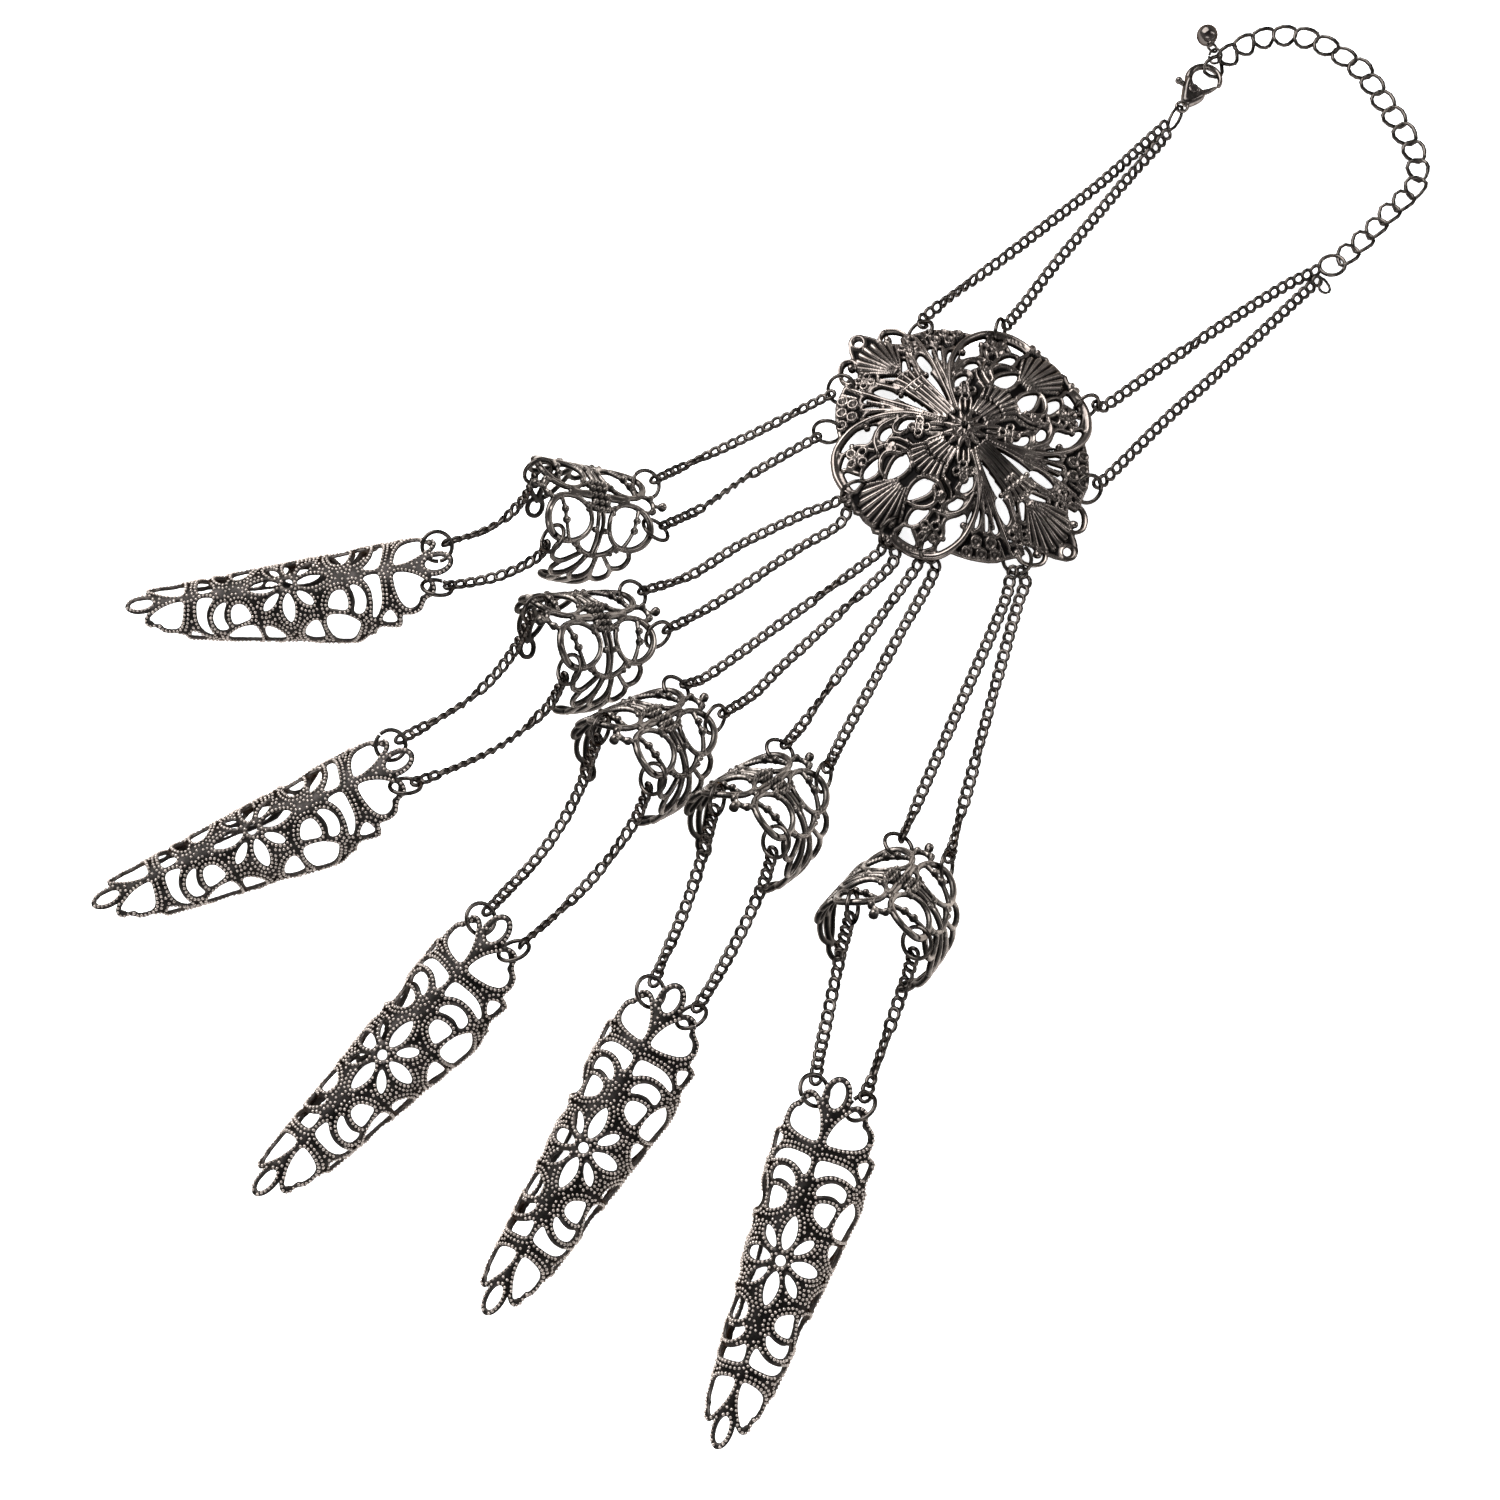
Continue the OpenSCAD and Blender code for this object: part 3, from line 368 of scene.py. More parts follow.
def ringTree():
    tree, given = newTree("jumpRings", {"Ring Radius": ("Float", 0.0026), "Wire Radius": ("Float", 0.00038),
        "Sweep": ("Float", 6.19), "Seed": ("Int", 5)})
    arc = addNode(tree, "GeometryNodeCurveArc",
                  {"Resolution": 30, "Radius": given["Ring Radius"], "Sweep Angle": given["Sweep"]})
    wire = addNode(tree, "GeometryNodeCurvePrimitiveCircle",
                   {"Resolution": 10, "Radius": given["Wire Radius"]})
    ring = addNode(tree, "GeometryNodeCurveToMesh",
                   {"Curve": arc, "Profile Curve": wire, "Fill Caps": True})
    way = addNode(tree, "GeometryNodeInputNamedAttribute", {"Name": "ringAxis"}, data_type="FLOAT_VECTOR")
    facing = addNode(tree, "FunctionNodeAlignRotationToVector", {"Vector": way}, axis="Z")
    spin = addNode(tree, "FunctionNodeRandomValue",
                   {2: 0.0, 3: 6.2, "Seed": given["Seed"]}, data_type="FLOAT")
    about = addNode(tree, "FunctionNodeAxisAngleToRotation", {"Axis": (0, 0, 1), "Angle": spin.outputs[1]})
    spun = addNode(tree, "FunctionNodeRotateRotation",
                   {"Rotation": facing, "Rotate By": about}, rotation_space="LOCAL")
    put = addNode(tree, "GeometryNodeInstanceOnPoints",
                  {"Points": given["Geometry"], "Instance": ring, "Rotation": spun})
    return closeTree(tree, put, given["Material"])


seedBeads, curbChain, jumpRings = beadTree(), linkTree(), ringTree()


# Relief: a sheet of metal cut and raised on a flat pattern, then laid on its real surface
def insidePolygon(points, outline):
    x, y = points.T
    inside = np.zeros(len(points), bool)
    for (x1, y1), (x2, y2) in zip(outline, np.roll(outline, -1, axis=0)):
        crosses = (y1 > y) != (y2 > y)
        inside ^= crosses & (x < (x2 - x1) * (y - y1) / ((y2 - y1) or 1e-9) + x1)
    return inside


def polygonDistance(points, outline, reach=3.0):
    outline = np.asarray(outline, float)
    out = np.full(len(points), reach)
    near = np.all((points > outline.min(0) - reach) & (points < outline.max(0) + reach), axis=1)
    p = points[near]
    best = np.full(len(p), 1e9)
    for a, b in zip(outline, np.roll(outline, -1, axis=0)):
        ab = b - a
        t = np.clip((p - a) @ ab / max(ab @ ab, 1e-9), 0, 1)
        best = np.minimum(best, np.linalg.norm(p - a - t[:, None] * ab, axis=1))
    out[near] = np.where(insidePolygon(p, outline), -best, best)
    return out


def strokeDistance(points, path, halves, reach=3.0):
    # distance outside the stroke, and how far across it each point is (0 middle, 1 edge)
    path = np.asarray(path, float)
    widths = np.interp(np.linspace(0, 1, len(path)), np.linspace(0, 1, len(halves)), halves)
    out, share = np.full(len(points), reach), np.full(len(points), 9.0)
    near = np.all((points > path.min(0) - reach) & (points < path.max(0) + reach), axis=1)
    p = points[near]
    best, part = np.full(len(p), reach), np.full(len(p), 9.0)
    for i in range(len(path) - 1):
        a, ab = path[i], path[i + 1] - path[i]
        t = np.clip((p - a) @ ab / max(ab @ ab, 1e-9), 0, 1)
        d = np.linalg.norm(p - a - t[:, None] * ab, axis=1)
        wide = widths[i] + t * (widths[i + 1] - widths[i])
        better = d - wide < best
        best, part = np.where(better, d - wide, best), np.where(better, d / wide, part)
    out[near], share[near] = best, part
    return out, share


def cutGrid(values, level=0.0):
    # triangles of the grid where values < level, with new points where the edge crosses the grid
    n, m = values.shape
    v = values.ravel() - level
    node = np.arange(n * m).reshape(n, m)
    ends = [(node[:-1, :].ravel(), node[1:, :].ravel()), (node[:, :-1].ravel(), node[:, 1:].ravel()),
            (node[:-1, :-1].ravel(), node[1:, 1:].ravel())]
    ids, crossings, count = [], [], n * m
    for a, b in ends:
        cut = (v[a] < 0) != (v[b] < 0)
        number = np.full(len(a), -1)
        number[cut] = count + np.arange(cut.sum())
        count += int(cut.sum())
        t = np.clip(v[a[cut]] / (v[a[cut]] - v[b[cut]]), 0.08, 0.92)
        crossings.append(np.stack([a[cut], b[cut], t], axis=1))
        ids.append(number)
    across, up, slant = ids[0].reshape(n - 1, m), ids[1].reshape(n, m - 1), ids[2].reshape(n - 1, m - 1)
    a, b, c, d = node[:-1, :-1], node[1:, :-1], node[1:, 1:], node[:-1, 1:]
    tris = [(a, b, c, across[:, :-1], up[1:, :], slant), (a, c, d, slant, across[:, 1:], up[:-1, :])]
    faces, rims = [], []
    for parts in tris:
        corners = [part.ravel() for part in parts[:3]]
        sides = [part.ravel() for part in parts[3:]]
        inside = [v[corner] < 0 for corner in corners]
        total = inside[0].astype(int) + inside[1] + inside[2]
        faces.append(np.stack([corner[total == 3] for corner in corners], axis=1))
        for k in range(3):
            here, after = corners[k], corners[(k + 1) % 3]
            first, second, third = sides[k], sides[(k + 1) % 3], sides[(k + 2) % 3]
            one = (total == 1) & inside[k]
            faces.append(np.stack([here[one], first[one], third[one]], axis=1))
            rims.append(np.stack([first[one], third[one]], axis=1))
            two = (total == 2) & inside[k] & inside[(k + 1) % 3]
            faces.append(np.stack([here[two], after[two], second[two]], axis=1))
            faces.append(np.stack([here[two], second[two], third[two]], axis=1))
            rims.append(np.stack([second[two], third[two]], axis=1))
    return np.concatenate(faces), np.concatenate(rims), np.concatenate(crossings)


def gridOf(region, pitch):
    x0, x1, y0, y1 = region
    xs = np.linspace(x0, x1, int((x1 - x0) / pitch) + 1)
    ys = np.linspace(y0, y1, int((y1 - y0) / pitch) + 1)
    gx, gy = np.meshgrid(xs, ys, indexing="ij")
    return gx.shape, np.stack([gx.ravel(), gy.ravel()], axis=1)


def withCrossings(flat, crossings):
    a, b = crossings[:, 0].astype(int), crossings[:, 1].astype(int)
    return np.concatenate([flat, flat[a] + crossings[:, 2:] * (flat[b] - flat[a])])


def relief(name, sizes, field, place, material):
    shape, flat = gridOf(sizes["region"], sizes["pitch"])
    distance = field(flat)[0]
    faces, rims, crossings = cutGrid(distance.reshape(shape))
    flat = withCrossings(flat, crossings)
    used = np.unique(faces)
    renumber = np.full(len(flat), -1)
    renumber[used] = np.arange(len(used))
    faces, rims, flat = renumber[faces], renumber[rims], flat[used]
    _, top, bottom, raised = field(flat)
    count = len(flat)
    points = np.concatenate([place(flat, top), place(flat, bottom)])
    walls = np.stack([rims[:, 0] + count, rims[:, 1] + count, rims[:, 1], rims[:, 0]], axis=1)
    piece = meshObject(name, points, faces.tolist() + (faces[:, ::-1] + count).tolist() + walls.tolist())
    # raised: the share of painted highlight at each point, the rest painted shade; the underside gets less
    # of the highlight
    mark(piece, "raised", np.r_[raised, 0.3 * raised])
    piece.data.materials.append(material)
    return piece


def contourRows(region, pitch, distance, levels, spacing):
    # points along lines that follow every edge at the given depths
    shape, flat = gridOf(region, pitch)
    accepted, cells, closest = [], {}, 0.86 * spacing
    for level in levels:
        _, rims, crossings = cutGrid(distance.reshape(shape), -level)
        points = withCrossings(flat, crossings)
        following = dict(rims.tolist())
        while following:
            line = list(following.popitem())
            while line[-1] in following:
                line.append(following.pop(line[-1]))
            line = points[line]
            length = np.linalg.norm(np.diff(line, axis=0), axis=1).sum()
            for spot in evenly(line, max(2, int(length / spacing) + 1)):
                column, row = (int(c / spacing // 1) for c in spot)
                near = [other for i in (-1, 0, 1) for j in (-1, 0, 1)
                        for other in cells.get((column + i, row + j), ())]
                if all(math.hypot(*(spot - other)) >= closest for other in near):
                    cells.setdefault((column, row), []).append(spot)
                    accepted.append(spot)
    return np.array(accepted)


def edgeRounding(distance, radius, height):
    t = np.clip(1 + distance / radius, 0, 1)
    return height * np.sqrt(1 - t * t)


def archOver(share):
    # a round ridge: 1 along its middle, 0 at its edge
    return np.sqrt(np.clip(1 - share ** 2, 0, 1))


def wrapped(along, around, radius, height):
    # a flat pattern rolled into a tube that runs along x, open below
    return np.stack([along, (radius + height) * np.sin(around / radius),
                     (radius + height) * np.cos(around / radius)], axis=1)


def hookAt(place, spot, bar):
    # a point on a curved piece, and which way the bar there runs
    flat = [np.array([[spot[0] + f * bar[0], spot[1] + f * bar[1]]]) for f in (0, 0.1)]
    here, there = (place(at, np.zeros(1))[0] for at in flat)
    return here, unit(there - here)


# Finger sheaths: beaded lace on a taper, the same flat pattern for all five
sheath = dict(
    at=[([-81.5, 26.5], 3.8, -4, 0), ([-84.1, -18.8], 22.8, -4, 0), ([-59.7, -57.1], 46.4, -4, 0),
        ([-26.3, -72.1], 58.4, -4, 0), ([5.9, -90], 69.3, -8, 0.4)],  # middle, heading, roll, lift
    axisHeight=5.22, slope=3.7, radius=6.95, taper=0.106, thickness=0.7, edgeRadius=0.45,
    region=(-31, 31, -17.4, 17.4), pitch=0.36, openingGrowth=0.13, centreHole=0.85,
    endLoop=(27.1, (3.3, 2.45), 2.8), endHole=(27.3, (2.1, 1.25), 1.6), hookAt=(26, 4.4),
    lowerFrom=11, lowerWidth=5.5, lowestTurn=2.28,  # the lower edges
    beadRadius=0.31, beadSpacing=0.72, beadSink=0.04, beadPitch=0.2,
    rowDepths=(0.38, 1.08, 1.78, 2.48, 3.2))
sheathOutline = [(0, 16.6), (2.6, 16.5), (4.6, 15.9), (6.6, 15.7), (8.8, 15.5), (10.8, 14.7), (12.4, 13.4),
    (13.4, 12.3), (14.9, 11.9), (15.2, 10.9), (16.4, 10.4), (18.0, 10.8), (19.6, 10.9), (20.2, 9.6),
    (20.4, 8.6), (22.3, 8.7), (23.9, 8.1), (24.6, 7.0), (25.2, 6.2), (26.5, 5.8), (27.0, 4.7), (26.9, 3.6),
    (26.3, 2.6), (25.6, 1.6), (26.0, 0.6)]
sheathOpenings = dict(
    halfHeart=[(19.7, 1.0), (21.2, 1.0), (23.2, 1.7), (24.8, 2.8), (25.8, 3.8), (25.3, 4.5), (25.0, 5.1),
        (23.9, 5.5), (23.5, 6.5), (22.5, 7.2), (21.4, 7.0), (20.5, 5.8), (19.9, 4.0), (19.6, 2.3)],
    outerArc=[(14.1, 0.9), (16.4, 0.8), (16.9, 3.2), (16.8, 5.6), (15.9, 7.6), (15.1, 8.1), (15.5, 5.7),
        (15.4, 3.5), (14.7, 1.9)],
    middleArc=[(11.6, 2.0), (12.9, 2.4), (13.9, 3.8), (14.0, 5.4), (13.4, 6.8), (12.5, 7.0), (11.9, 6.5),
        (12.3, 4.9), (12.1, 3.4)],
    innerArc=[(8.1, 3.1), (9.2, 2.6), (10.2, 2.9), (10.7, 4.4), (10.4, 5.9), (8.5, 5.6), (7.3, 5.0)],
    cornerTab=[(18.3, 7.4), (19.0, 8.7), (18.9, 9.5), (17.4, 9.4), (16.7, 8.9), (17.3, 8.0)],
    bigHeart=[(6.8, 7.1), (7.9, 6.8), (10.3, 7.3), (12.2, 8.8), (12.0, 9.9), (11.2, 11.4), (10.2, 12.9),
        (8.9, 14.0), (7.6, 13.4), (6.8, 10.8), (6.5, 8.6)],
    sideDrop=[(2.4, 9.0), (3.8, 7.6), (4.9, 7.6), (5.2, 9.7), (4.9, 11.6), (3.3, 12.0), (2.1, 10.6)],
    longPetal=[(1.9, 0), (3.3, 0.85), (4.8, 0.95), (6.2, 0.6), (7.1, 0), (6.2, -0.6), (4.8, -0.95),
        (3.3, -0.85)],
    crossPetal=[(0, 1.9), (0.85, 3.3), (0.95, 4.8), (0.6, 6.1), (0, 6.9), (-0.6, 6.1), (-0.95, 4.8),
        (-0.85, 3.3)],
    slantPetal=[(1.8, 1.7), (3.1, 2.1), (4.2, 3.1), (4.5, 4.2), (3.3, 3.9), (2.3, 2.9)],
    flankLens=[(-3.1, 14.2), (-1.6, 12.6), (0, 11.9), (1.6, 12.6), (3.1, 14.2), (1.6, 15.3), (0, 15.5),
        (-1.6, 15.3)],
    flankSlit=[(4.2, 13.9), (5.6, 12.7), (6.9, 14.4), (5.4, 14.8)])


def quarter(flat):
    u, s = flat.T
    s = np.abs(s) / np.interp(u, [-22, -15], [0.74, 1.0])  # the tip is drawn in
    # the lower edges are drawn in toward the tip, so that they clear the table
    start = sheath["lowerFrom"]
    room = sheath["lowestTurn"] * (sheath["radius"] + sheath["taper"] * u) - start
    squeeze = np.maximum(1, sheath["lowerWidth"] / np.maximum(room, 1.6))
    return np.stack([np.abs(u), np.where(s > start, start + (s - start) * squeeze, s)], axis=1)


def ovalDistance(points, along, radii, reach):
    return reach * (np.linalg.norm((points - [along, 0]) / radii, axis=1) - 1)


def sheathField(flat):
    folded = quarter(flat)
    # closed past the folds
    outline = smoothPath(sheathOutline, 0.5).tolist() + [[26, -6], [-6, -6], [-6, 16.6]]
    body = polygonDistance(folded, outline, 6.0)
    distance = np.minimum(body, ovalDistance(folded, *sheath["endLoop"]))
    distance = np.maximum(distance, -ovalDistance(folded, *sheath["endHole"]))
    distance = np.maximum(distance, sheath["centreHole"] - fromPoint(folded, 0, 0))
    for shape in sheathOpenings.values():
        opening = polygonDistance(folded, smoothPath(shape, 0.4, True), 3.0) - sheath["openingGrowth"]
        distance = np.maximum(distance, -opening)
    rise = edgeRounding(distance, sheath["edgeRadius"], sheath["thickness"] / 2)
    return distance, rise, -rise, np.zeros(len(flat))


def onSheath(i):
    at, heading, roll, extra = sheath["at"][i]

    def place(flat, height):
        u, s = flat.T
        out = wrapped(u, s, sheath["radius"] + sheath["taper"] * u, height)
        return turned(out, roll, sheath["slope"], heading) + [at[0], at[1], sheath["axisHeight"] + extra]
    return place


flatDistance = sheathField(gridOf(sheath["region"], sheath["beadPitch"])[1])[0]
beadSpots = contourRows(sheath["region"], sheath["beadPitch"], flatDistance, sheath["rowDepths"],
                        sheath["beadSpacing"])
beadLift = np.full(len(beadSpots), sheath["thickness"] / 2 - sheath["beadSink"])
beadSizes = 0.9 + 0.2 * np.random.default_rng(4).random(len(beadSpots))
print("sheath pattern:", len(beadSpots), "beads each")
sheathPieces = []
for i in range(5):
    plate = relief("lace%d" % (i + 1), sheath, sheathField, onSheath(i), pittedCast)
    beads = meshObject("beads%d" % (i + 1), onSheath(i)(beadSpots, beadLift), [])
    mark(beads, "beadSize", beadSizes)
    growMesh(beads, seedBeads, {"Bead Radius": sheath["beadRadius"] * mm, "Seed": 7 + i}, seedCast)
    sheathPieces.append(joined("fingerSheath%d" % (i + 1), [plate, beads]))
print("sheaths made")


# Knuckle rings: smooth cast wires on a finger-wide band, one quarter pattern folded both ways
knuckle = dict(
    at=[([-26.7, 41.7, 17], 192, 41, 0), ([-26.3, 18.7, 16.75], 208, 43, 3),  # crown, heading, lift, roll
        ([-15.4, -0.1, 16.5], 226, 44, 3), ([3.8, -11.5, 16.45], 230, 45, 8),
        ([25.3, -28.8, 16.45], 237, 45, 8)],
    radius=10.3, region=(-16, 16, -29.4, 29.4), pitch=0.25, wireHeight=0.6, boldness=1.08,
    blockHalf=(1.9, 3.0), blockTop=0.1, ballLift=0.42)
# each wire: flat path (along the finger, round it), half widths from start to end
bigLoop = [direction(a) * [4.75, 4.1] + [6.7, 4.85] for a in range(-180, 181, 20)]
knuckleWires = [
    (bigLoop, (0.36, 0.42, 0.62, 0.66, 0.5, 0.36)),
    ([(8.7, 1.3), (8.0, 3.4), (7.6, 5.1), (6.9, 6.9), (6.0, 8.8)], (0.34, 0.24, 0.24, 0.34)),
    ([(0.5, 2.7), (0.55, 5.2), (0.4, 7.4), (0.3, 10.8)], (0.34, 0.26, 0.3)),
    ([(4.4, 8.4), (3.5, 9.6), (1.8, 10.6), (0.3, 11.0)], (0.45, 0.38, 0.5)),
    ([(7.4, 8.9), (8.3, 10.6), (7.7, 12.6), (5.6, 13.1), (3.7, 11.7), (2.4, 10.5)], (0.42, 0.45, 0.36)),
    ([(5.6, 13.1), (6.2, 15.1), (5.0, 16.9), (3.1, 16.2), (1.8, 13.8), (1.0, 11.1)], (0.42, 0.45, 0.36)),
    ([(1.2, 11.4), (1.7, 14.2), (1.4, 16.4), (0, 17.9)], (0.4, 0.42, 0.5)),
    ([(0, 17.6), (0, 23.4)], (0.6, 0.5)),
    ([(3.1, 16.2), (3.2, 18.8), (2.3, 21.4), (0.3, 23.2)], (0.42, 0.42, 0.5)),
    ([(0, 22.9), (1.4, 23.7), (1.6, 25.1), (0.9, 26.1), (0, 26.3)], (0.45, 0.42, 0.42)),
    ([(9.2, 1.4), (10.8, 1.6), (12.0, 0.9), (12.3, 0)], (0.36, 0.34, 0.4)),
    ([(12.2, 0), (14.0, 0)], (0.34, 0.28)),
    ([(2.2, 0.3), (4.4, 0.2), (6.4, 0.3)], (0.5, 0.4)),
    ([(1.9, 1.9), (2.9, 2.9)], (0.4, 0.4))]
knuckleBalls = [(8.05, 3.5, 0.62), (7.6, 5.3, 0.66), (14.3, 0, 0.82), (11.8, 1.3, 0.62), (1.05, 6.2, 0.56),
                (3.0, 2.0, 0.55), (4.6, 9.3, 0.5), (3.5, 10.0, 0.5)]
knuckleBlock = [(x, y, 0.56) for x in (0, 1.35) for y in (0, 1.3, 2.5)]


def knuckleField(flat):
    folded = np.abs(flat)
    count = len(flat)
    distance, top, raised = np.full(count, 5.0), np.full(count, -1.0), np.zeros(count)
    for path, halves in knuckleWires:
        halves = [knuckle["boldness"] * h for h in halves]
        d, share = strokeDistance(folded, smoothPath(path, 0.45), halves, 2.0)
        distance = np.minimum(distance, d)
        # painted highlight along the middle of each wire, fading to painted shade at its edges
        arch = archOver(share)
        over = (share < 1) & (knuckle["wireHeight"] * arch > top)
        top, raised = np.where(over, knuckle["wireHeight"] * arch, top), np.where(over, arch, raised)
    block = np.max(folded - knuckle["blockHalf"], axis=1)
    distance = np.minimum(distance, block)
    # the block between its balls is left in painted shade
    over = (block < 0) & (top < knuckle["blockTop"])
    top, raised = np.where(over, knuckle["blockTop"], top), np.where(over, 0.0, raised)
    for x, y, r in knuckleBalls + knuckleBlock:
        d = fromPoint(folded, x, y)
        distance = np.minimum(distance, d - r)
        dome = knuckle["ballLift"] + np.sqrt(np.clip(r * r - d * d, 0, None))
        over = (d < r) & (dome > top)
        # painted highlight on the top of each ball
        top, raised = np.where(over, dome, top), np.where(over, archOver(d / r), raised)
    top = np.where(distance > -0.3, np.minimum(top, edgeRounding(distance, 0.3, 1.4)), top)
    return distance, np.maximum(top, 0), -edgeRounding(distance, 0.5, 0.5), raised


def onKnuckle(i):
    crown, heading, lift, roll = knuckle["at"][i]

    def place(flat, height):
        out = wrapped(flat[:, 0], flat[:, 1], knuckle["radius"], height) - [0, 0, knuckle["radius"]]
        return turned(out, roll, lift, heading) + crown
    return place


knucklePieces = [relief("knuckleRing%d" % (i + 1), knuckle, knuckleField, onKnuckle(i), smoothCast)
                 for i in range(5)]
print("knuckle rings made")


# Medallion: openwork rosette on a low dome, one quadrant folded about its two axes
medallion = dict(
    at=[39.4, 59.1], turn=131, domeRadius=54.633, domeZ=-45.771, rimZ=2.45, region=(-31.2, 31.2, -26, 26),
    pitch=0.23, rise=0.9, plateTop=0.1, plateBack=-0.35, openingScale=1.2, rimWidth=0.42, rimRise=0.4,
    column=(4.0, 13.4), columnHalf=(1.5, 2.6), flutes=2.5, cup=1.2, daisyReach=3.4,
    endAt=28.6, endRing=1.9, endHole=0.85)
medallionOutline = [(-6, -6), (-6, 24.4), (0.4, 24.4), (1.5, 24.2), (2.6, 24.7), (3.6, 24.1), (4.6, 23.9),
    (5.6, 23.4), (7.4, 23.3), (10.6, 22.3), (12.7, 20.9), (14.2, 18.9), (15.0, 17.1), (16.6, 16.2),
    (18.4, 15.0), (19.6, 14.0), (20.9, 12.8), (21.9, 11.5), (22.6, 9.9), (23.3, 8.5), (23.9, 7.6),
    (24.0, 6.4), (22.6, 5.7), (23.4, 4.9), (24.6, 4.3), (26.3, 3.6), (28.2, 2.7), (29.9, 1.5), (30.4, 0.6),
    (30.5, 0), (30.5, -6)]
medallionOpenings = [
    [(19.9, 1.7), (18.9, 2.9), (17.0, 2.6), (16.3, 1.7), (17.0, 0.9), (18.8, 1.1)],
    [(17.3, 4.6), (17.6, 5.8), (15.0, 5.4), (13.9, 4.5), (14.3, 3.8), (15.8, 3.9)],
    [(13.4, 2.9), (13.2, 3.8), (11.2, 3.5), (8.6, 2.6), (7.2, 2.0), (7.6, 1.7), (10.4, 2.1)],
    [(17.8, 7.8), (17.7, 8.5), (16.4, 8.3), (14.9, 7.2), (15.3, 6.9), (16.7, 7.3)],
    [(16.5, 9.1), (16.0, 9.5), (14.2, 8.1), (14.9, 7.8)],
    [(14.7, 10.2), (14.0, 11.3), (13.1, 10.8), (12.2, 8.7), (12.3, 7.9), (13.5, 8.6)],
    [(12.9, 11.9), (14.0, 14.5), (13.5, 17.4), (12.7, 17.4), (12.2, 15.4), (10.9, 14.0), (11.6, 12.2),
        (12.0, 11.2)],
    [(9.9, 9.5), (10.2, 10.9), (9.5, 11.9), (8.7, 11.6), (8.9, 10.4), (9.0, 9.8)],
    [(9.3, 20.6), (7.8, 21.3), (6.1, 21.5), (6.0, 20.7), (6.4, 19.4), (7.5, 19.8)],
    [(6.9, 15.3), (7.1, 16.7), (6.8, 18.5), (5.8, 18.6), (5.3, 16.9), (6.2, 15.7)],
    [(7.7, 4.8), (8.9, 6.4), (8.8, 7.8), (8.2, 8.2), (7.5, 6.9), (7.2, 5.3)],
    [(3.7, 11.2), (4.2, 12.9), (3.6, 14.7), (2.7, 15.8), (1.8, 13.9), (2.0, 12.1), (2.9, 11.0)],
    [(11.8, 18.6), (10.9, 20.2), (9.9, 20.6), (10.6, 18.9), (11.2, 18.0)],
    [(20.9, 6.6), (20.2, 7.4), (19.2, 6.9), (19.6, 6.0)]]
tipOpening = [(26.2, 4.4), (26.4, 5.3), (25.6, 6.2), (24.4, 6.6), (24.0, 5.8), (24.9, 4.9)]
# each ridge: flat path, half widths, rise above the plate
medallionRidges = [
    ([(4.0, 1.2), (7.1, 2.7), (10.8, 4.3), (14.8, 6.0), (18.2, 7.2), (21.4, 8.2)], (0.35, 0.5, 0.42), 0.95),
    ([(7.6, 3.2), (10.4, 5.1), (13.9, 6.6), (17.0, 8.2)], (0.3, 0.42, 0.35), 0.85),
    ([(10.1, 4.8), (13.2, 7.4), (16.3, 10.0)], (0.3, 0.38), 0.8),
    ([(10.9, 6.0), (12.6, 9.0), (15.1, 11.6)], (0.3, 0.4), 0.8),
    ([(3.9, 1.9), (8.0, 4.1), (11.0, 6.6), (13.4, 9.8), (14.8, 14.2), (13.9, 18.8), (10.8, 21.7),
        (7.4, 22.8), (5.6, 22.7)], (0.3, 0.55, 0.62, 0.75, 0.55), 1.15),
    ([(7.6, 4.4), (9.4, 6.1), (9.7, 8.4), (8.6, 9.4), (7.4, 9.0), (7.3, 8.0)], (0.32, 0.36, 0.3), 0.9),
    ([(10.2, 6.9), (11.1, 10.2), (9.9, 12.9), (7.6, 14.2)], (0.4, 0.5, 0.4), 1.0),
    ([(15.8, 1.4), (18.8, 3.3)], (0.3, 0.35), 0.8),
    ([(14.6, 2.7), (17.5, 4.0), (19.6, 4.7)], (0.4, 0.35), 0.85),
    ([(23.4, 3.9), (26.2, 3.4), (27.2, 5.0), (26.3, 6.7), (24.7, 7.7), (22.7, 7.6)],
        (0.35, 0.42, 0.45, 0.4), 0.8),
    ([(22.7, 8.4), (18.9, 8.0)], (0.32, 0.2), 0.7),
    ([(21.9, 9.9), (19.2, 8.9)], (0.32, 0.2), 0.7),
    ([(23.3, 7.2), (20.9, 6.6), (19.2, 7.0)], (0.3, 0.2), 0.7),
    ([(8.6, 14.3), (9.8, 15.0), (10.6, 15.7), (10.3, 16.8)], (0.35, 0.3), 0.8),
    ([(9.7, 17.2), (9.2, 19.2), (9.9, 20.2)], (0.35, 0.3), 0.8),
    ([(9.7, 17.2), (7.8, 17.6), (7.0, 18.9), (5.9, 19.6)], (0.35, 0.3), 0.8),
    ([(9.9, 17.4), (11.3, 17.0), (12.3, 16.2)], (0.35, 0.3), 0.8),
    ([(4.2, 10.3), (6.2, 10.9), (7.6, 12.0), (8.3, 13.2)], (0.55, 0.5, 0.3), 1.0),
    ([(5.0, 9.2), (6.9, 9.7), (8.2, 10.8)], (0.4, 0.25), 0.9),
    ([(4.4, 11.4), (5.6, 12.2), (6.6, 13.3), (6.1, 15.0), (4.6, 16.2), (3.2, 16.6)], (0.4, 0.6, 0.5, 0.3),
        1.1),
    ([(1.0, 12.4), (2.0, 11.2), (3.6, 10.6)], (0.35, 0.3), 0.8),
    ([(5.8, 8.9), (4.2, 8.9), (3.4, 7.6), (2.4, 5.8), (1.5, 3.6)], (0.32, 0.4, 0.28), 0.85),
    ([(0, 16.3), (0, 19.5)], (0.5, 0.3), 0.9)]
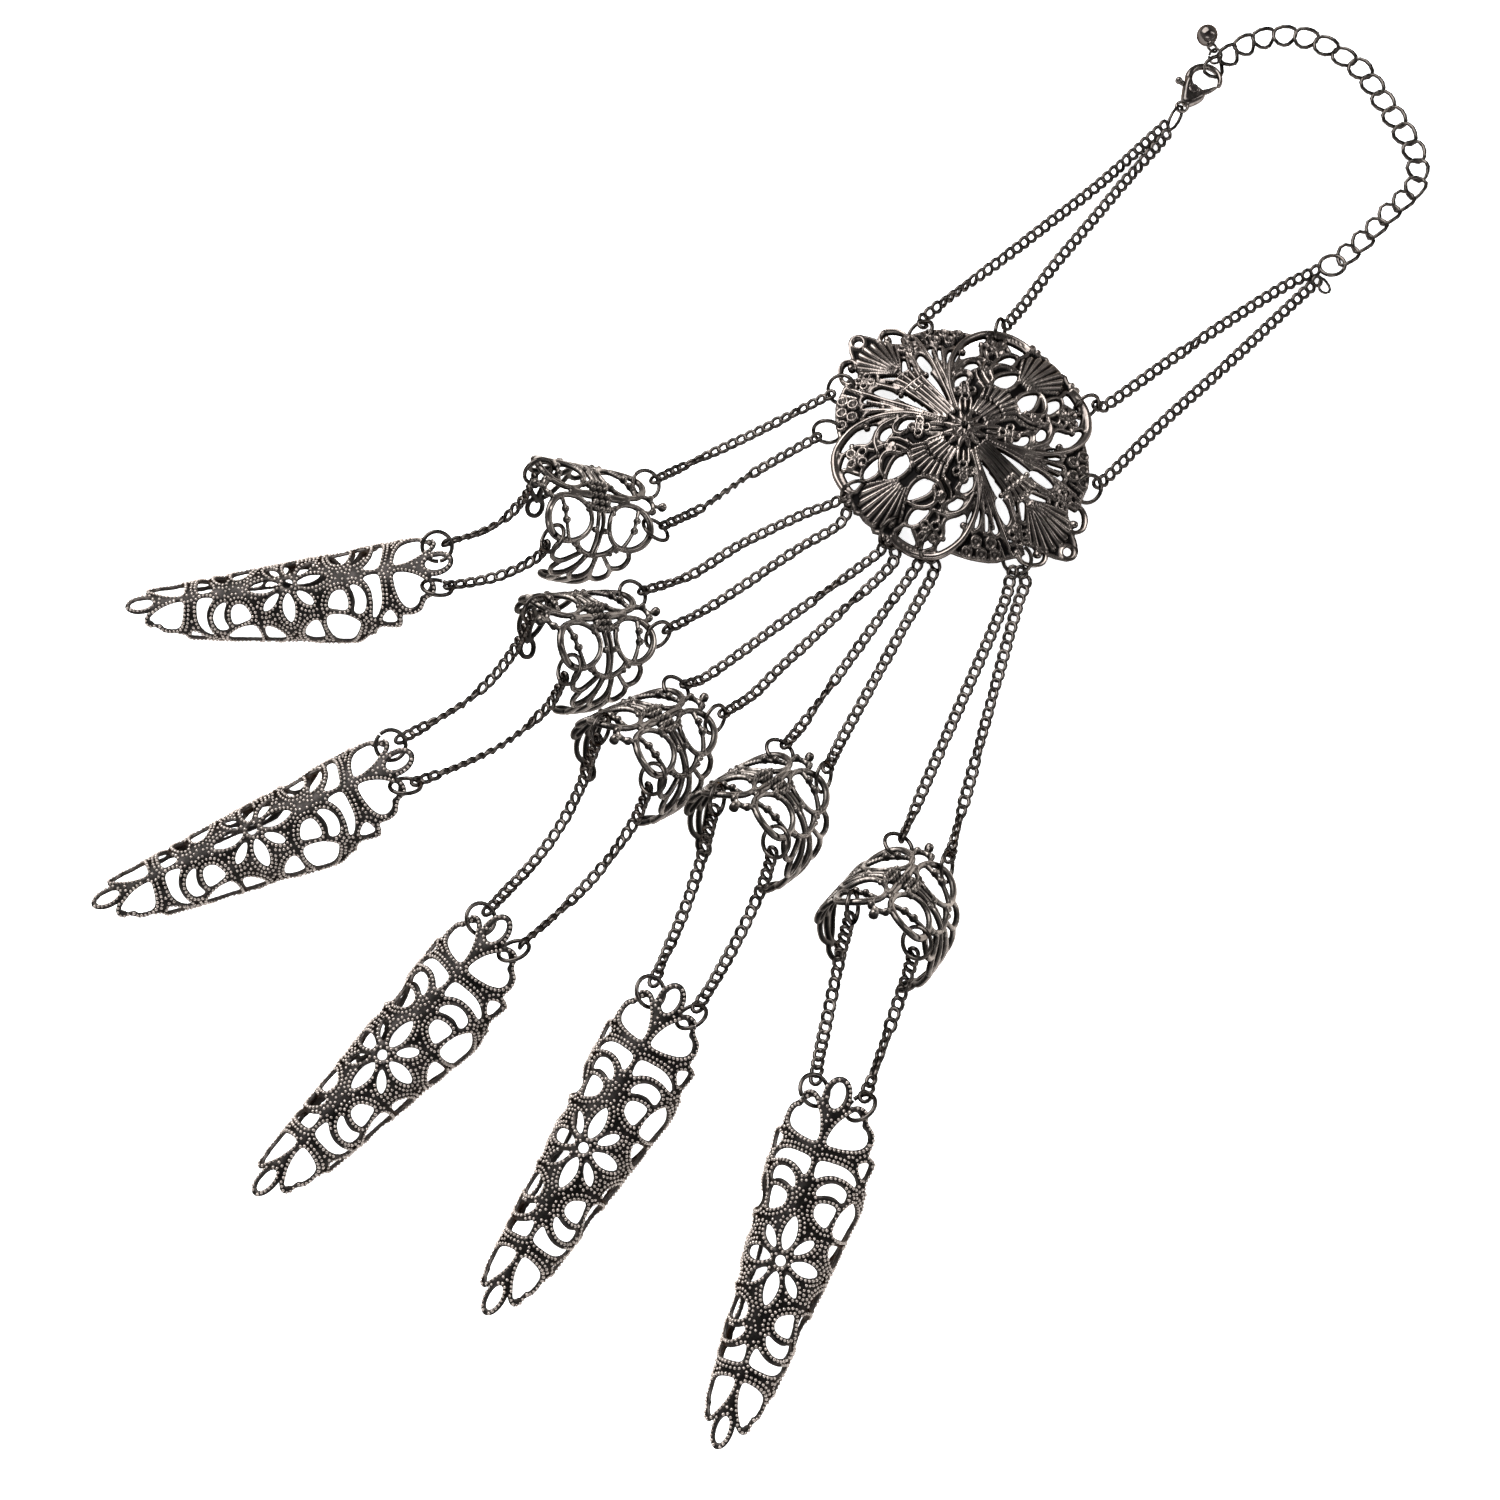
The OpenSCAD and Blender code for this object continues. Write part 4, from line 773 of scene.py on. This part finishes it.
for k in (0, 1, 2):  # capital of the fluted column
    medallionRidges.append(([(13.9, 0.9 * k), (16.0, 1.28 * k)], (0.36, 0.5), 1.05))
medallionRidges += [([(13.7, 0), (13.6, 2.4)], (0.36, 0.36), 1.2),
    ([(12.1, 0), (12.1, 1.0)], (0.3, 0.3), 1.35), ([(16.6, 0), (16.4, 1.8)], (0.3, 0.3), 1.1)]
for turn in (14, 33, 57, 76):  # small leaves round the daisy
    way = direction(turn)
    medallionRidges.append(([3.9 * way, 5.3 * way], (0.18, 0.42, 0.3), 0.9))
leaf = [[(3.0, 3.0), (4.6, 4.5)], [(3.6, 2.4), (4.9, 3.4), (5.4, 4.3)],
    [(2.4, 3.6), (3.4, 4.9), (4.3, 5.5)]]
medallionRidges += [(lobe, (0.25, 0.45, 0.3), 0.95) for lobe in leaf]
# fluted fans on the two axes: which axis, root, half angle, radii, shortening at the sides, rib angle, rise
medallionFans = [(1, 13.2, 37, (2.2, 10.6), 0.26, 9.2, 1.15), (0, 16.6, 42, (1.2, 10.2), 0.3, 9.0, 1.0),
                 (1, -1.0, 25, (5.0, 8.8), 0.1, 7.2, 1.0), (1, 3.2, 36, (5.0, 8.4), 0.14, 9.0, 1.2)]
medallionCups = [(20.6, 11.0), (18.9, 12.8), (16.9, 14.6), (18.6, 10.3), (16.7, 12.2)]
medallionBalls = [(13.1, 12.1, 0.6), (11.4, 7.4, 0.55), (13.6, 3.2, 0.5), (25.4, 4.6, 0.75),
    (5.9, 23.6, 0.8), (4.6, 23.9, 0.6), (12.4, 16.3, 0.5), (10.0, 20.4, 0.5), (7.2, 7.9, 0.5),
    (8.4, 13.3, 0.5)]
medallionFlowers = [(20.6, 5.4, 1.6, 0.6), (9.7, 17.3, 1.95, 0.1), (5.9, 5.7, 1.75, 0.7),
    (6.6, 12.0, 1.0, 0.3)]

# two layers of pointed petals: angles, radii, half widths, height, extra height at the middle
medallionDaisy = [((0, 30, 60, 90), (1.2, 3.9), (0.24, 0.5, 0.62, 0.5, 0.14), 0.35, 0.6),
                  ((0, 45, 90), (0.6, 2.3), (0.18, 0.42, 0.5, 0.36, 0.12), 0.95, 0.8)]


def medallionField(flat):
    folded = np.abs(flat)
    plate = polygonDistance(folded, medallionOutline, 4.0)
    for shape in medallionOpenings:
        middle = np.mean(shape, axis=0)
        wider = middle + (np.array(shape) - middle) * medallion["openingScale"]
        plate = np.maximum(plate, -polygonDistance(folded, smoothPath(wider, 0.3, True), 3.0))
    plate = np.maximum(plate, -polygonDistance(folded, smoothPath(tipOpening, 0.3, True), 2.0))
    low = medallion["plateTop"]
    distance, top, raised = plate.copy(), np.where(plate < 0, low, -1.0), np.zeros(len(flat))

    # light: the share of painted highlight at a point; what is left is painted shade
    def lay(near, height, light):
        nonlocal top, raised
        over = near & (height > top)
        top, raised = np.where(over, height, top), np.where(over, light, raised)

    def fill(near):
        nonlocal distance
        distance = np.minimum(distance, np.where(near, -0.5, 3.0))

    arch = archOver(plate / medallion["rimWidth"] + 1)  # rolled edge round every opening
    lay(plate < 0, low + medallion["rimRise"] * arch, 0.7 * arch)
    for axis, root, halfTurn, radii, droop, rib, rise in medallionFans:
        along, aside = folded[:, axis], folded[:, 1 - axis]
        turn, reach = np.degrees(np.arctan2(aside, along - root)), np.hypot(aside, along - root)
        arch = np.abs(np.cos(math.pi * turn / rib)) ** 0.7
        outer = radii[1] * (1 - droop * (turn / halfTurn) ** 2) + 0.35 * arch
        near = (turn < halfTurn) & (reach > radii[0]) & (reach < outer)
        fill(near)
        fade = np.clip((outer - reach) / 0.5, 0.4, 1)
        lay(near, medallion["rise"] * rise * (0.3 + 0.7 * arch) * fade, arch ** 2)
    start, end = medallion["column"]  # a fluted column
    wide = np.interp(folded[:, 0], medallion["column"], medallion["columnHalf"])
    arch = np.abs(np.cos(math.pi * medallion["flutes"] * folded[:, 1] / wide)) ** 0.7
    near = (folded[:, 0] > start) & (folded[:, 0] < end) & (folded[:, 1] < wide)
    fill(near)
    lay(near, medallion["rise"] * (0.3 + 0.75 * arch), arch ** 2)
    for path, halves, rise in medallionRidges:
        d, share = strokeDistance(folded, smoothPath(path, 0.5), halves, 1.5)
        distance = np.minimum(distance, d)
        lay(share < 1, medallion["rise"] * rise * archOver(share), archOver(share))
    for x, y in medallionCups:  # little cups with a dimple
        d = fromPoint(folded, x, y)
        distance = np.minimum(distance, d - medallion["cup"])
        wall = np.exp(-((d - 0.86) / 0.27) ** 2) + 0.8 * np.exp(-(d / 0.32) ** 2)
        lay(d < medallion["cup"], 0.2 + 0.75 * wall, np.clip(wall, 0, 1))
    for x, y, r in medallionBalls:
        d = fromPoint(folded, x, y)
        distance = np.minimum(distance, d - r)
        lay(d < r, 0.2 + r * archOver(d / r), archOver(d / r))
    for x, y, size, turn in medallionFlowers:  # four-lobed flowers
        d, r = fromPoint(folded, x, y), 0.56 * size
        arch = np.clip(1 - d / (0.36 * size), 0, 1)
        lay(d < 0.36 * size, 0.6 + 0.5 * arch, arch)
        for k in range(4):
            a = turn + k * math.pi / 2
            lobe = fromPoint(folded, x + size * 0.72 * math.cos(a), y + size * 0.72 * math.sin(a))
            distance = np.minimum(distance, lobe - r)
            wall = np.exp(-((lobe - r * 0.68) / 0.24) ** 2)
            lay(lobe < r, 0.25 + 0.8 * wall, wall)
    reach = fromPoint(folded, 0, 0)  # the daisy in the middle stands on a plain round
    inside = reach < medallion["daisyReach"]
    # the plain round under the daisy is all painted shade
    top, raised = np.where(inside, np.minimum(top, 0.2), top), np.where(inside, 0.0, raised)
    for turns, path, halves, rise, lift in medallionDaisy:
        for turn in turns:
            petal = evenly([direction(turn) * r for r in path], 7)
            d, share = strokeDistance(folded, petal, halves, 1.0)
            distance = np.minimum(distance, d)
            arch = archOver(share)
            height = rise + lift * np.clip(1 - reach / 4.6, 0, 1) + 0.5 * arch
            lay(share < 1, height, np.clip(1.35 * arch, 0, 1))
    d = fromPoint(folded, medallion["endAt"], 0)  # a raised ring round each end hole
    wall = np.exp(-((d - 1.25) / 0.4) ** 2)
    lay(d < medallion["endRing"], 0.15 + 0.5 * wall, wall)
    distance = np.maximum(distance, medallion["endHole"] - d)
    top = np.where(distance > -0.25, np.minimum(top, low + edgeRounding(distance, 0.25, 2.2)), top)
    return distance, np.maximum(top, 0.05), np.full(len(flat), medallion["plateBack"]), raised


def onMedallion(flat, height):
    p, q = flat.T
    a = math.radians(medallion["turn"])
    x, y = p * math.cos(a) + q * math.sin(a), p * math.sin(a) - q * math.cos(a)
    radius = medallion["domeRadius"]
    z = medallion["domeZ"] + np.sqrt(radius ** 2 - x * x - y * y)
    way = np.stack([x, y, z - medallion["domeZ"]], axis=1) / radius
    low = medallion["rimZ"] - z
    z = z + np.log1p(np.exp(low * 3)) / 3
    base = np.stack([x + medallion["at"][0], y + medallion["at"][1], z], axis=1)
    return base + way * height[:, None]


medallionPiece = relief("medallionRelief", medallion, medallionField, onMedallion, reliefCast)
print("medallion made:", len(medallionPiece.data.polygons), "faces")


# Chains and jump rings. Each chain starts and ends where the CAD one does.
chain = dict(pitch=1.9, length=2.95, width=2.5, wireRadius=0.38, tilt=0.3, yaw=0.26, twist=0.25, loose=0.16,
             standing=0.9, hold=2.5)
rings = dict(radius=2.625, wireRadius=0.375, room=1.45, rimRoom=1.7, lean=22, openLean=62,
    openHooks=(0, 5, 6, 9), knuckleLean=48, sheathLean=35, openTo=(0, -0.33, 0.95))
rest = 1.1  # height of a chain that rests on the table
# where the rings hang: turn and reach on the medallion, flat place and way of the wire on a knuckle ring
medallionHooks = [(152, 24.2), (173.5, 24.2), (206.7, 21.6), (232.6, 21.6), (251.8, 21.2), (292.2, 24.2),
                  (106.3, 24.2), (71.1, 24.2), (18.8, 24.2), (338.8, 24.2)]
knuckleHooks = [(-11.45, -4.9, (0, 1)), (-11.5, 4.4, (0, 1)), (11.45, -4.9, (0, 1)),
    (8.6, 8.4, (0.93, -0.36))]
# medallion hook, knuckle ring, its hook, and the points between
upperChains = [(0, 0, 0, [[1.9, 63.1, rest], [-9.4, 56.7, 2]]),
               (1, 0, 1, [[5.6, 57.4, rest], [-1.9, 52.5, rest], [-9, 46.6, 2]]),
               (2, 1, 0, [[14.5, 47.6, rest], [9.3, 45.5, rest], [-1.8, 39.6, rest], [-11, 32.8, 2.4]]),
               (2, 1, 1, [[16.5, 43.7, rest], [9.2, 39, rest], [-1.8, 31, rest], [-8.4, 25.8, 2.6]]),
               (3, 2, 0, [[22.8, 37.3, rest], [7, 25, rest], [-7, 13.8, 2]]),
               (3, 2, 1, [[26, 35.6, rest], [15, 24.7, rest], [5, 14.8, rest], [0.4, 9.6, 2.2]]),
               (4, 3, 0, [[29.8, 34, rest], [22, 22.7, rest], [13, 9.6, rest], [9, 3.6, 2]]),
               (4, 3, 1, [[33.7, 34, rest], [27, 21.5, rest], [20, 8.4, rest], [16, 0.6, 2.2]]),
               (5, 4, 0, [[47.3, 31.5, rest], [45.5, 25.9, rest], [33, -2.4, rest], [28.6, -12.6, 2]]),
               (5, 4, 1, [[50.4, 31.5, rest], [48.3, 25.9, rest], [39, -6, rest], [36, -16.2, 2.2]])]
# finger, knuckle hook, side of the sheath, sag
lowerChains = [(0, 2, 1, 9.5), (0, 3, -1, 6.5), (1, 2, 1, 13), (1, 3, -1, 12), (2, 2, 1, 15.5),
    (2, 3, -1, 12), (3, 2, 1, 13), (3, 3, -1, 11), (4, 2, 1, 12), (4, 3, -1, 10)]
# medallion hook, and the points out to the wrist
wristChains = [(6, [[33.4, 87.2], [39.3, 92.5], [48.8, 100.1], [58.5, 108.4], [68.5, 117], [79.4, 127.8],
                    [82.2, 130.6]]),
               (7, [[52.5, 89.9], [58.8, 98.7], [65.7, 107.5], [73.7, 117.7], [80, 125.3], [82.5, 128.6]]),
               (8, [[67.5, 68.6], [82.7, 80.1], [100.9, 92.8], [109.3, 97.6]]),
               (9, [[66.6, 53.4], [78.1, 65.2], [90.9, 77.3], [103.8, 89.9], [109.4, 95.3]])]

ringMiddles, ringAxes = [], []


def medallionHook(i):
    turn, reach = medallionHooks[i]
    x, y = medallion["at"] + reach * direction(turn)
    z = medallion["domeZ"] + math.sqrt(medallion["domeRadius"] ** 2 - reach ** 2)
    return np.array([x, y, z]), np.append(direction(turn + 90), 0.0)


def knuckleHook(i, k):
    t, s, bar = knuckleHooks[k]
    return hookAt(onKnuckle(i), (t, s), bar)


def sheathHook(i, side):
    along, aside = sheath["hookAt"]
    return hookAt(onSheath(i), (along, aside * side), (0, 1))


def addRing(hold, bar, aim, lean, room=rings["room"]):
    way = unit(np.asarray(aim, float) - hold)
    pull = unit(way - 0.9 * (bar @ way) * bar)
    middle = hold + pull * (rings["radius"] - room / np.linalg.norm(np.cross(bar, pull)))
    square = unit(bar - (bar @ pull) * pull)
    other = np.cross(pull, square)
    c, s = direction(lean)
    axes = [square * c + other * s, square * c - other * s]  # it falls to the more open side
    ringMiddles.append(middle)
    ringAxes.append(max(axes, key=lambda axis: abs(axis @ np.array(rings["openTo"]))))
    return middle


def chainEnd(middle, aim):
    return middle + unit(np.asarray(aim, float) - middle) * chain["hold"]


def chainRun(name, route, seed, **changes):
    path = smoothPath(route, 0.5)
    piece = meshObject(name, path, [], [(i, i + 1) for i in range(len(path) - 1)])
    use = {**chain, **changes}
    run = np.linalg.norm(np.diff(path, axis=0), axis=1).sum()
    pitch = run / max(1, round(run / use["pitch"])) - 1e-4  # whole links from end to end
    half = [use["length"] / 2 - use["wireRadius"], use["width"] / 2 - use["wireRadius"], use["twist"]]
    return growMesh(piece, curbChain, {
        "Pitch": pitch * mm, "Half Size": [h * mm for h in half], "Wire Radius": use["wireRadius"] * mm,
        "Yaw": use["yaw"], "Narrowing": -use.get("taper", 0.0), "Least Roll": use["tilt"] - use["loose"],
        "Most Roll": use["tilt"] + use["loose"], "Standing": use["standing"], "Seed": seed}, drawnWire)


medallionRing = {}
for hook, ring, _, points in upperChains:
    medallionRing.setdefault(hook, []).append(np.array(points[0], float))
for hook, points in wristChains:
    medallionRing.setdefault(hook, []).append(np.array(points[0] + [rest], float))
for hook, aims in medallionRing.items():
    hold, bar = medallionHook(hook)
    lean = rings["openLean"] if hook in rings["openHooks"] else rings["lean"]
    medallionRing[hook] = addRing(hold, bar, np.mean(aims, axis=0), lean, rings["rimRoom"])

chainPieces = []
for n, (hook, ring, k, points) in enumerate(upperChains):
    hold, bar = knuckleHook(ring, k)
    end = addRing(hold, bar, points[-1], rings["knuckleLean"])
    route = [chainEnd(medallionRing[hook], points[0])] + points + [chainEnd(end, points[-1])]
    chainPieces.append((n, chainRun("upperChain%d" % (n + 1), route, 10 + n)))
for n, (ring, k, side, sag) in enumerate(lowerChains):
    top, topBar = knuckleHook(ring, k)
    low, lowBar = sheathHook(ring, side)

    def sagging(f):
        return top + (low - top) * f - [0, 0, sag * math.sin(math.pi * f ** 0.75)]
    first = addRing(top, topBar, sagging(0.1), 0)
    last = addRing(low, lowBar, sagging(0.8), rings["sheathLean"])
    stops = [sagging(f) for f in (0.16, 0.24, 0.34, 0.45, 0.56, 0.67, 0.78)]
    for stop in stops:
        stop[2] = max(stop[2], rest)
    route = [chainEnd(first, stops[0])] + stops + [chainEnd(last, stops[-1])]
    chainPieces.append((n, chainRun("lowerChain%d" % (n + 1), route, 30 + n)))
for n, (hook, points) in enumerate(wristChains):
    points = [p + [rest] for p in points]
    route = [chainEnd(medallionRing[hook], points[0])] + points
    chainPieces.append((n, chainRun("wristChain%d" % (n + 1), route, 50 + n)))
print("chains made:", len(chainPieces))

ringPoints = meshObject("jumpRings", ringMiddles, [])
mark(ringPoints, "ringAxis", np.ravel(ringAxes), "FLOAT_VECTOR")
ringSizes = {"Ring Radius": rings["radius"] * mm, "Wire Radius": rings["wireRadius"] * mm}
growMesh(ringPoints, jumpRings, ringSizes, drawnWire)
print("jump rings made:", len(ringMiddles))


# Clasp: hook with a sprung gate, worked by a thumb tab
clasp = dict(at=[85.9, 134.8, 1.55], heading=48, region=(-2, 12, -4.6, 5), pitch=0.13, eye=1.12,
    eyeWire=0.3, pin=(4.3, 0.6), pinRound=1.05, hookAt=(8, 0.6), hookRadius=3.15)
shoulder = [(0.8, -0.8), (2.4, -1.7), (4.2, -2.1), (5.5, -1.5), (5.7, 0.2), (5.7, 1.5), (6.5, 2.6),
    (6.3, 3.5), (4.7, 3.2), (2.6, 2.1), (0.8, 0.8)]
lever = dict(region=(2.8, 9.2, -3.4, 5.6), pitch=0.13, hub=0.95, hubTop=1.16, knobAt=(4.5, 4.3), knob=0.75,
             thumb=[clasp["pin"], (4.5, 2.6), (4.5, 4.2)],
             gate=[clasp["pin"], (5.4, -1.1), (6.6, -1.8), (7.9, -2.25)])


def onClasp(flat, height):
    out = np.stack([flat[:, 0], flat[:, 1], height], axis=1)
    return turned(out, 0, 0, clasp["heading"]) + clasp["at"]


def claspField(flat):
    eye = np.abs(fromPoint(flat, 0, 0) - clasp["eye"]) - clasp["eyeWire"]
    body = polygonDistance(flat, smoothPath(shoulder, 0.3, True), 3.0)
    arc = [clasp["hookRadius"] * direction(a) + clasp["hookAt"] for a in np.arange(-74, 141, 8)]
    hook, share = strokeDistance(flat, arc, (0.46, 0.6, 0.8), 3.0)
    distance = np.minimum(np.minimum(eye, body), hook)
    top = np.maximum(edgeRounding(eye, 0.3, 0.45), edgeRounding(body, 0.9, 1.1))
    top = np.maximum(top, np.where(share < 1, 0.7 * archOver(share), 0))
    sunk = fromPoint(flat, *clasp["pin"]) < clasp["pinRound"]  # the lever's hub sits in a shallow round
    top = np.where(sunk, np.maximum(top - 0.25, 0.5), top)
    return distance, top, -top, np.ones(len(flat))


def leverField(flat):
    thumb, _ = strokeDistance(flat, lever["thumb"], (0.6, 0.55, 0.6), 3.0)
    gate, _ = strokeDistance(flat, lever["gate"], (0.6, 0.66, 0.56, 0.36), 3.0)
    reach = fromPoint(flat, *clasp["pin"])
    hub, knob = reach - lever["hub"], fromPoint(flat, *lever["knobAt"]) - lever["knob"]
    distance = np.minimum(np.minimum(thumb, gate), np.minimum(hub, knob))
    top = edgeRounding(distance, 0.45, 0.45)
    top = np.where(hub < 0, lever["hubTop"] + 0.1 * archOver(reach), top)
    top = np.where((knob < 0) & (hub > 0), np.maximum(top, edgeRounding(knob, 0.7, 0.75)), top)
    return distance, top, -top, np.ones(len(flat))


claspBody = relief("claspBody", clasp, claspField, onClasp, glossCast)
claspLever = relief("claspLever", lever, leverField, onClasp, glossCast)


def singleRing(name, middle, axis, radius, wire, seed):
    piece = meshObject(name, [middle], [])
    mark(piece, "ringAxis", unit(axis), "FLOAT_VECTOR")
    sizes = {"Ring Radius": radius * mm, "Wire Radius": wire * mm, "Seed": seed}
    return growMesh(piece, jumpRings, sizes, drawnWire)


def oneLink(name, middle, heading, roll, length, width, wire, taper=0.0):
    ahead = np.append(0.02 * direction(heading), 0)
    return chainRun(name, [middle, middle + ahead], 1, pitch=5, length=length, width=width, wireRadius=wire,
                    tilt=math.radians(roll), yaw=0.0, twist=0.0, taper=taper, loose=0.0, standing=0.0)


claspLink = oneLink("claspLink", np.array([84.4, 132.2, 1.55]), 60, 50, 6.6, 3.2, 0.34)
endRing = singleRing("wristEndRing", [112.6, 98.7, 1.3], [-0.2, 0.15, 1], 2.4, 0.38, 3)
looseLoop = oneLink("looseLoop", np.array([110.7, 94.4, 0.9]), 97, 12, 3.8, 2.7, 0.27, 0.4)
endRing = joined("wristEndRing", [endRing, looseLoop])  # the loose loop hangs at the end ring
dropRing = singleRing("dropRing", [93.3, 146.4, 2.1], [0.7, 0.4, -0.7], 1.4, 0.25, 8)

extender = dict(
    z=1.65,
    route=[[93.1, 144.2], [97.1, 147.7], [101.6, 150.5], [106.2, 151.6], [110.8, 151.5], [115, 149.8],
        [118.4, 147.2], [121.6, 144.6], [123.8, 141.2], [125.6, 137.2], [127.6, 133.2], [129.4, 129],
        [131, 125], [131.4, 121.2], [131.2, 117.6], [129.2, 114.2], [126.2, 111.6], [122.9, 108],
        [119.4, 104.2], [115.6, 100.6]],
    link=dict(pitch=4.3, length=5.7, width=4.5, wireRadius=0.39, tilt=0.26, yaw=0.34, twist=0.85,
        taper=0.34, loose=0.2, standing=0.0))
extenderPiece = chainRun("extender", [p + [extender["z"]] for p in extender["route"]], 61,
    **extender["link"])

ball = dict(at=[92, 151.4, 2.15], radius=2.1, seam=0.05, eye=[92.8, 148.4, 2.2], around=40,
            collar=[(0.75, 2.0), (0.82, 2.2), (0.7, 2.42), (0.3, 2.5), (0.0, 2.5)])


def turnedBall():
    # turned ball with a fine seam and a collar
    middle, eye = np.array(ball["at"]), np.array(ball["eye"])
    up = unit(eye - middle)
    side = unit(np.cross(up, [0, 0, 1]))
    front = np.cross(side, up)
    profile = [(0.0, -ball["radius"])]
    for a in np.arange(-80, 71, 7.5):
        seam = ball["seam"] if abs(a) < 3 else 0
        profile.append((ball["radius"] - seam) * direction(a))
    profile += ball["collar"]
    points, faces, around = [], [], ball["around"]
    for r, h in profile:
        for k in range(around):
            c, s = direction(360 * k / around)
            points.append(middle + up * h + (side * c + front * s) * r)
    for i in range(len(profile) - 1):
        for k in range(around):
            n = (k + 1) % around
            faces.append((i * around + k, i * around + n, (i + 1) * around + n, (i + 1) * around + k))
    return points, faces


ballPoints, ballFaces = turnedBall()
ballPiece = meshObject("ballDrop", ballPoints, ballFaces)
ballPiece.data.materials.append(glossCast)
work = bmesh.new()
work.from_mesh(ballPiece.data)
bmesh.ops.remove_doubles(work, verts=work.verts, dist=1e-6)
bmesh.ops.recalc_face_normals(work, faces=work.faces)
work.to_mesh(ballPiece.data)
work.free()
ballEye = singleRing("ballEye", ball["eye"], [0.4, 0.1, 0.9], 1.1, 0.25, 9)
ballPiece = joined("ballDrop", [ballPiece, ballEye])
print("clasp, extender and ball made")


# Which CAD nodes each piece stands for, its moving body and its finish
def settle(piece, slotName, *nodes, body="hand_chain"):
    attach(piece, body)
    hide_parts(*nodes)
    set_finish(piece, slotName)


for i in range(5):
    settle(sheathPieces[i], "cast_metal", "finger_sheath_%d" % (i + 1))
    settle(knucklePieces[i], "cast_metal", "knuckle_ring_%d" % (i + 1))
settle(medallionPiece, "cast_metal", "medallion")
for n, piece in chainPieces:
    kind = piece.name.split("Chain")[0]
    strand = str(n + 1) if kind == "wrist" else "%d%s" % (n // 2 + 1, "ab"[n % 2])
    settle(piece, "chain_metal", "%s_chain_%s" % (kind, strand))
settle(ringPoints, "chain_metal", "medallion_jump_rings",
       *["%s_jump_rings_%d" % (place, i + 1) for place in ("knuckle", "sheath") for i in range(5)])
settle(claspBody, "cast_metal", "clasp_body")
settle(claspLever, "chain_metal", "clasp_lever", body="lever")
settle(claspLink, "chain_metal", "clasp_link")
settle(endRing, "chain_metal", "wrist_end_ring")
settle(extenderPiece, "chain_metal", "extender_chain")
settle(dropRing, "chain_metal", "drop_ring")
settle(ballPiece, "cast_metal", "ball_drop")

# Floor, light and camera
studio = dict(
    floor="#f7f7f7", glow=0.85, floorHalf=3, floorDrop=0.02, overhead=0.14, horizon=0.62,
    walls=(0.35, 0.97), focal=50.0, sensor=36.0, elevation=71.0, distance=372.0, target=[-9.9, -17.1, 0.0],
    lamps=[("backLeftWindow", (-0.6, 0.8, 1.1), (1.4, 1.1), 48),  # place and size in metres, power in watts
           ("rightStrip", (1.0, 0.1, 0.75), (0.16, 0.9), 4),
           ("frontStrip", (-0.1, -1.1, 0.75), (0.9, 0.16), 4)])
floorMesh = bpy.data.meshes.new("paperFloor")
half = studio["floorHalf"]
corners = [(-half, -half, 0), (half, -half, 0), (half, half, 0), (-half, half, 0)]
floorMesh.from_pydata(corners, [], [(0, 1, 2, 3)])
floor = linked("paperFloor", floorMesh)
floor.location.z = cadBox[0].z - studio["floorDrop"] * mm
paper = bpy.data.materials.new("whitePaper")  # it glows a little, so that it turns as white as in the photo
sheet = emptyTree(paper)
fibres = addNode(sheet, "ShaderNodeTexNoise", {"Scale": 900.0, "Detail": 2.0})
tooth = addNode(sheet, "ShaderNodeBump", {"Height": fibres, "Strength": 0.02, "Distance": 0.0002})
matt = addNode(sheet, "ShaderNodeBsdfPrincipled", {
    "Base Color": toLinear(studio["floor"]), "Roughness": 0.9, "Emission Color": (1, 1, 1, 1),
    "Emission Strength": studio["glow"], "Normal": tooth})
addNode(sheet, "ShaderNodeOutputMaterial", {"Surface": matt})
floorMesh.materials.append(paper)

world = bpy.data.worlds.new("studio")
bpy.context.scene.world = world
sky = emptyTree(world)
# pale walls all round and a dark ceiling, which the flat tops of the metal reflect
spread = addNode(sky, "ShaderNodeTexCoord").outputs["Generated"]
height = addNode(sky, "ShaderNodeSeparateXYZ", {"Vector": spread}).outputs["Z"]
low, high = studio["walls"]
strength = addNode(sky, "ShaderNodeMapRange", {"Value": height, "From Min": low, "From Max": high,
    "To Min": studio["horizon"], "To Max": studio["overhead"]})
glowing = addNode(sky, "ShaderNodeBackground", {"Color": (1, 1, 1, 1), "Strength": strength})
addNode(sky, "ShaderNodeOutputWorld", {"Surface": glowing})
bpy.context.scene.view_settings.view_transform = "Standard"


def pointAt(thing, at, toward):
    thing.location = at
    thing.rotation_euler = (toward - at).to_track_quat("-Z", "Y").to_euler()


for name, at, size, power in studio["lamps"]:
    lampData = bpy.data.lights.new(name, "AREA")
    lampData.shape, lampData.energy = "RECTANGLE", power
    lampData.size, lampData.size_y = size
    lamp = linked(name, lampData)
    pointAt(lamp, Vector(at), Vector())

cameraData = bpy.data.cameras.new("photoCamera")
cameraData.lens, cameraData.sensor_width = studio["focal"], studio["sensor"]
cameraData.clip_start, cameraData.clip_end = 0.01, 20.0
camera = linked("photoCamera", cameraData)
along, up = direction(studio["elevation"])
target = Vector(studio["target"]) * mm
pointAt(camera, target + Vector((0, -along, up)) * studio["distance"] * mm, target)
bpy.context.scene.camera = camera
print("stage set")

total = sum(len(p.vertices) - 2 for o in bpy.data.objects
            if o.type == "MESH" and o.get("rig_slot") for p in o.data.polygons)
print("triangles added:", total)
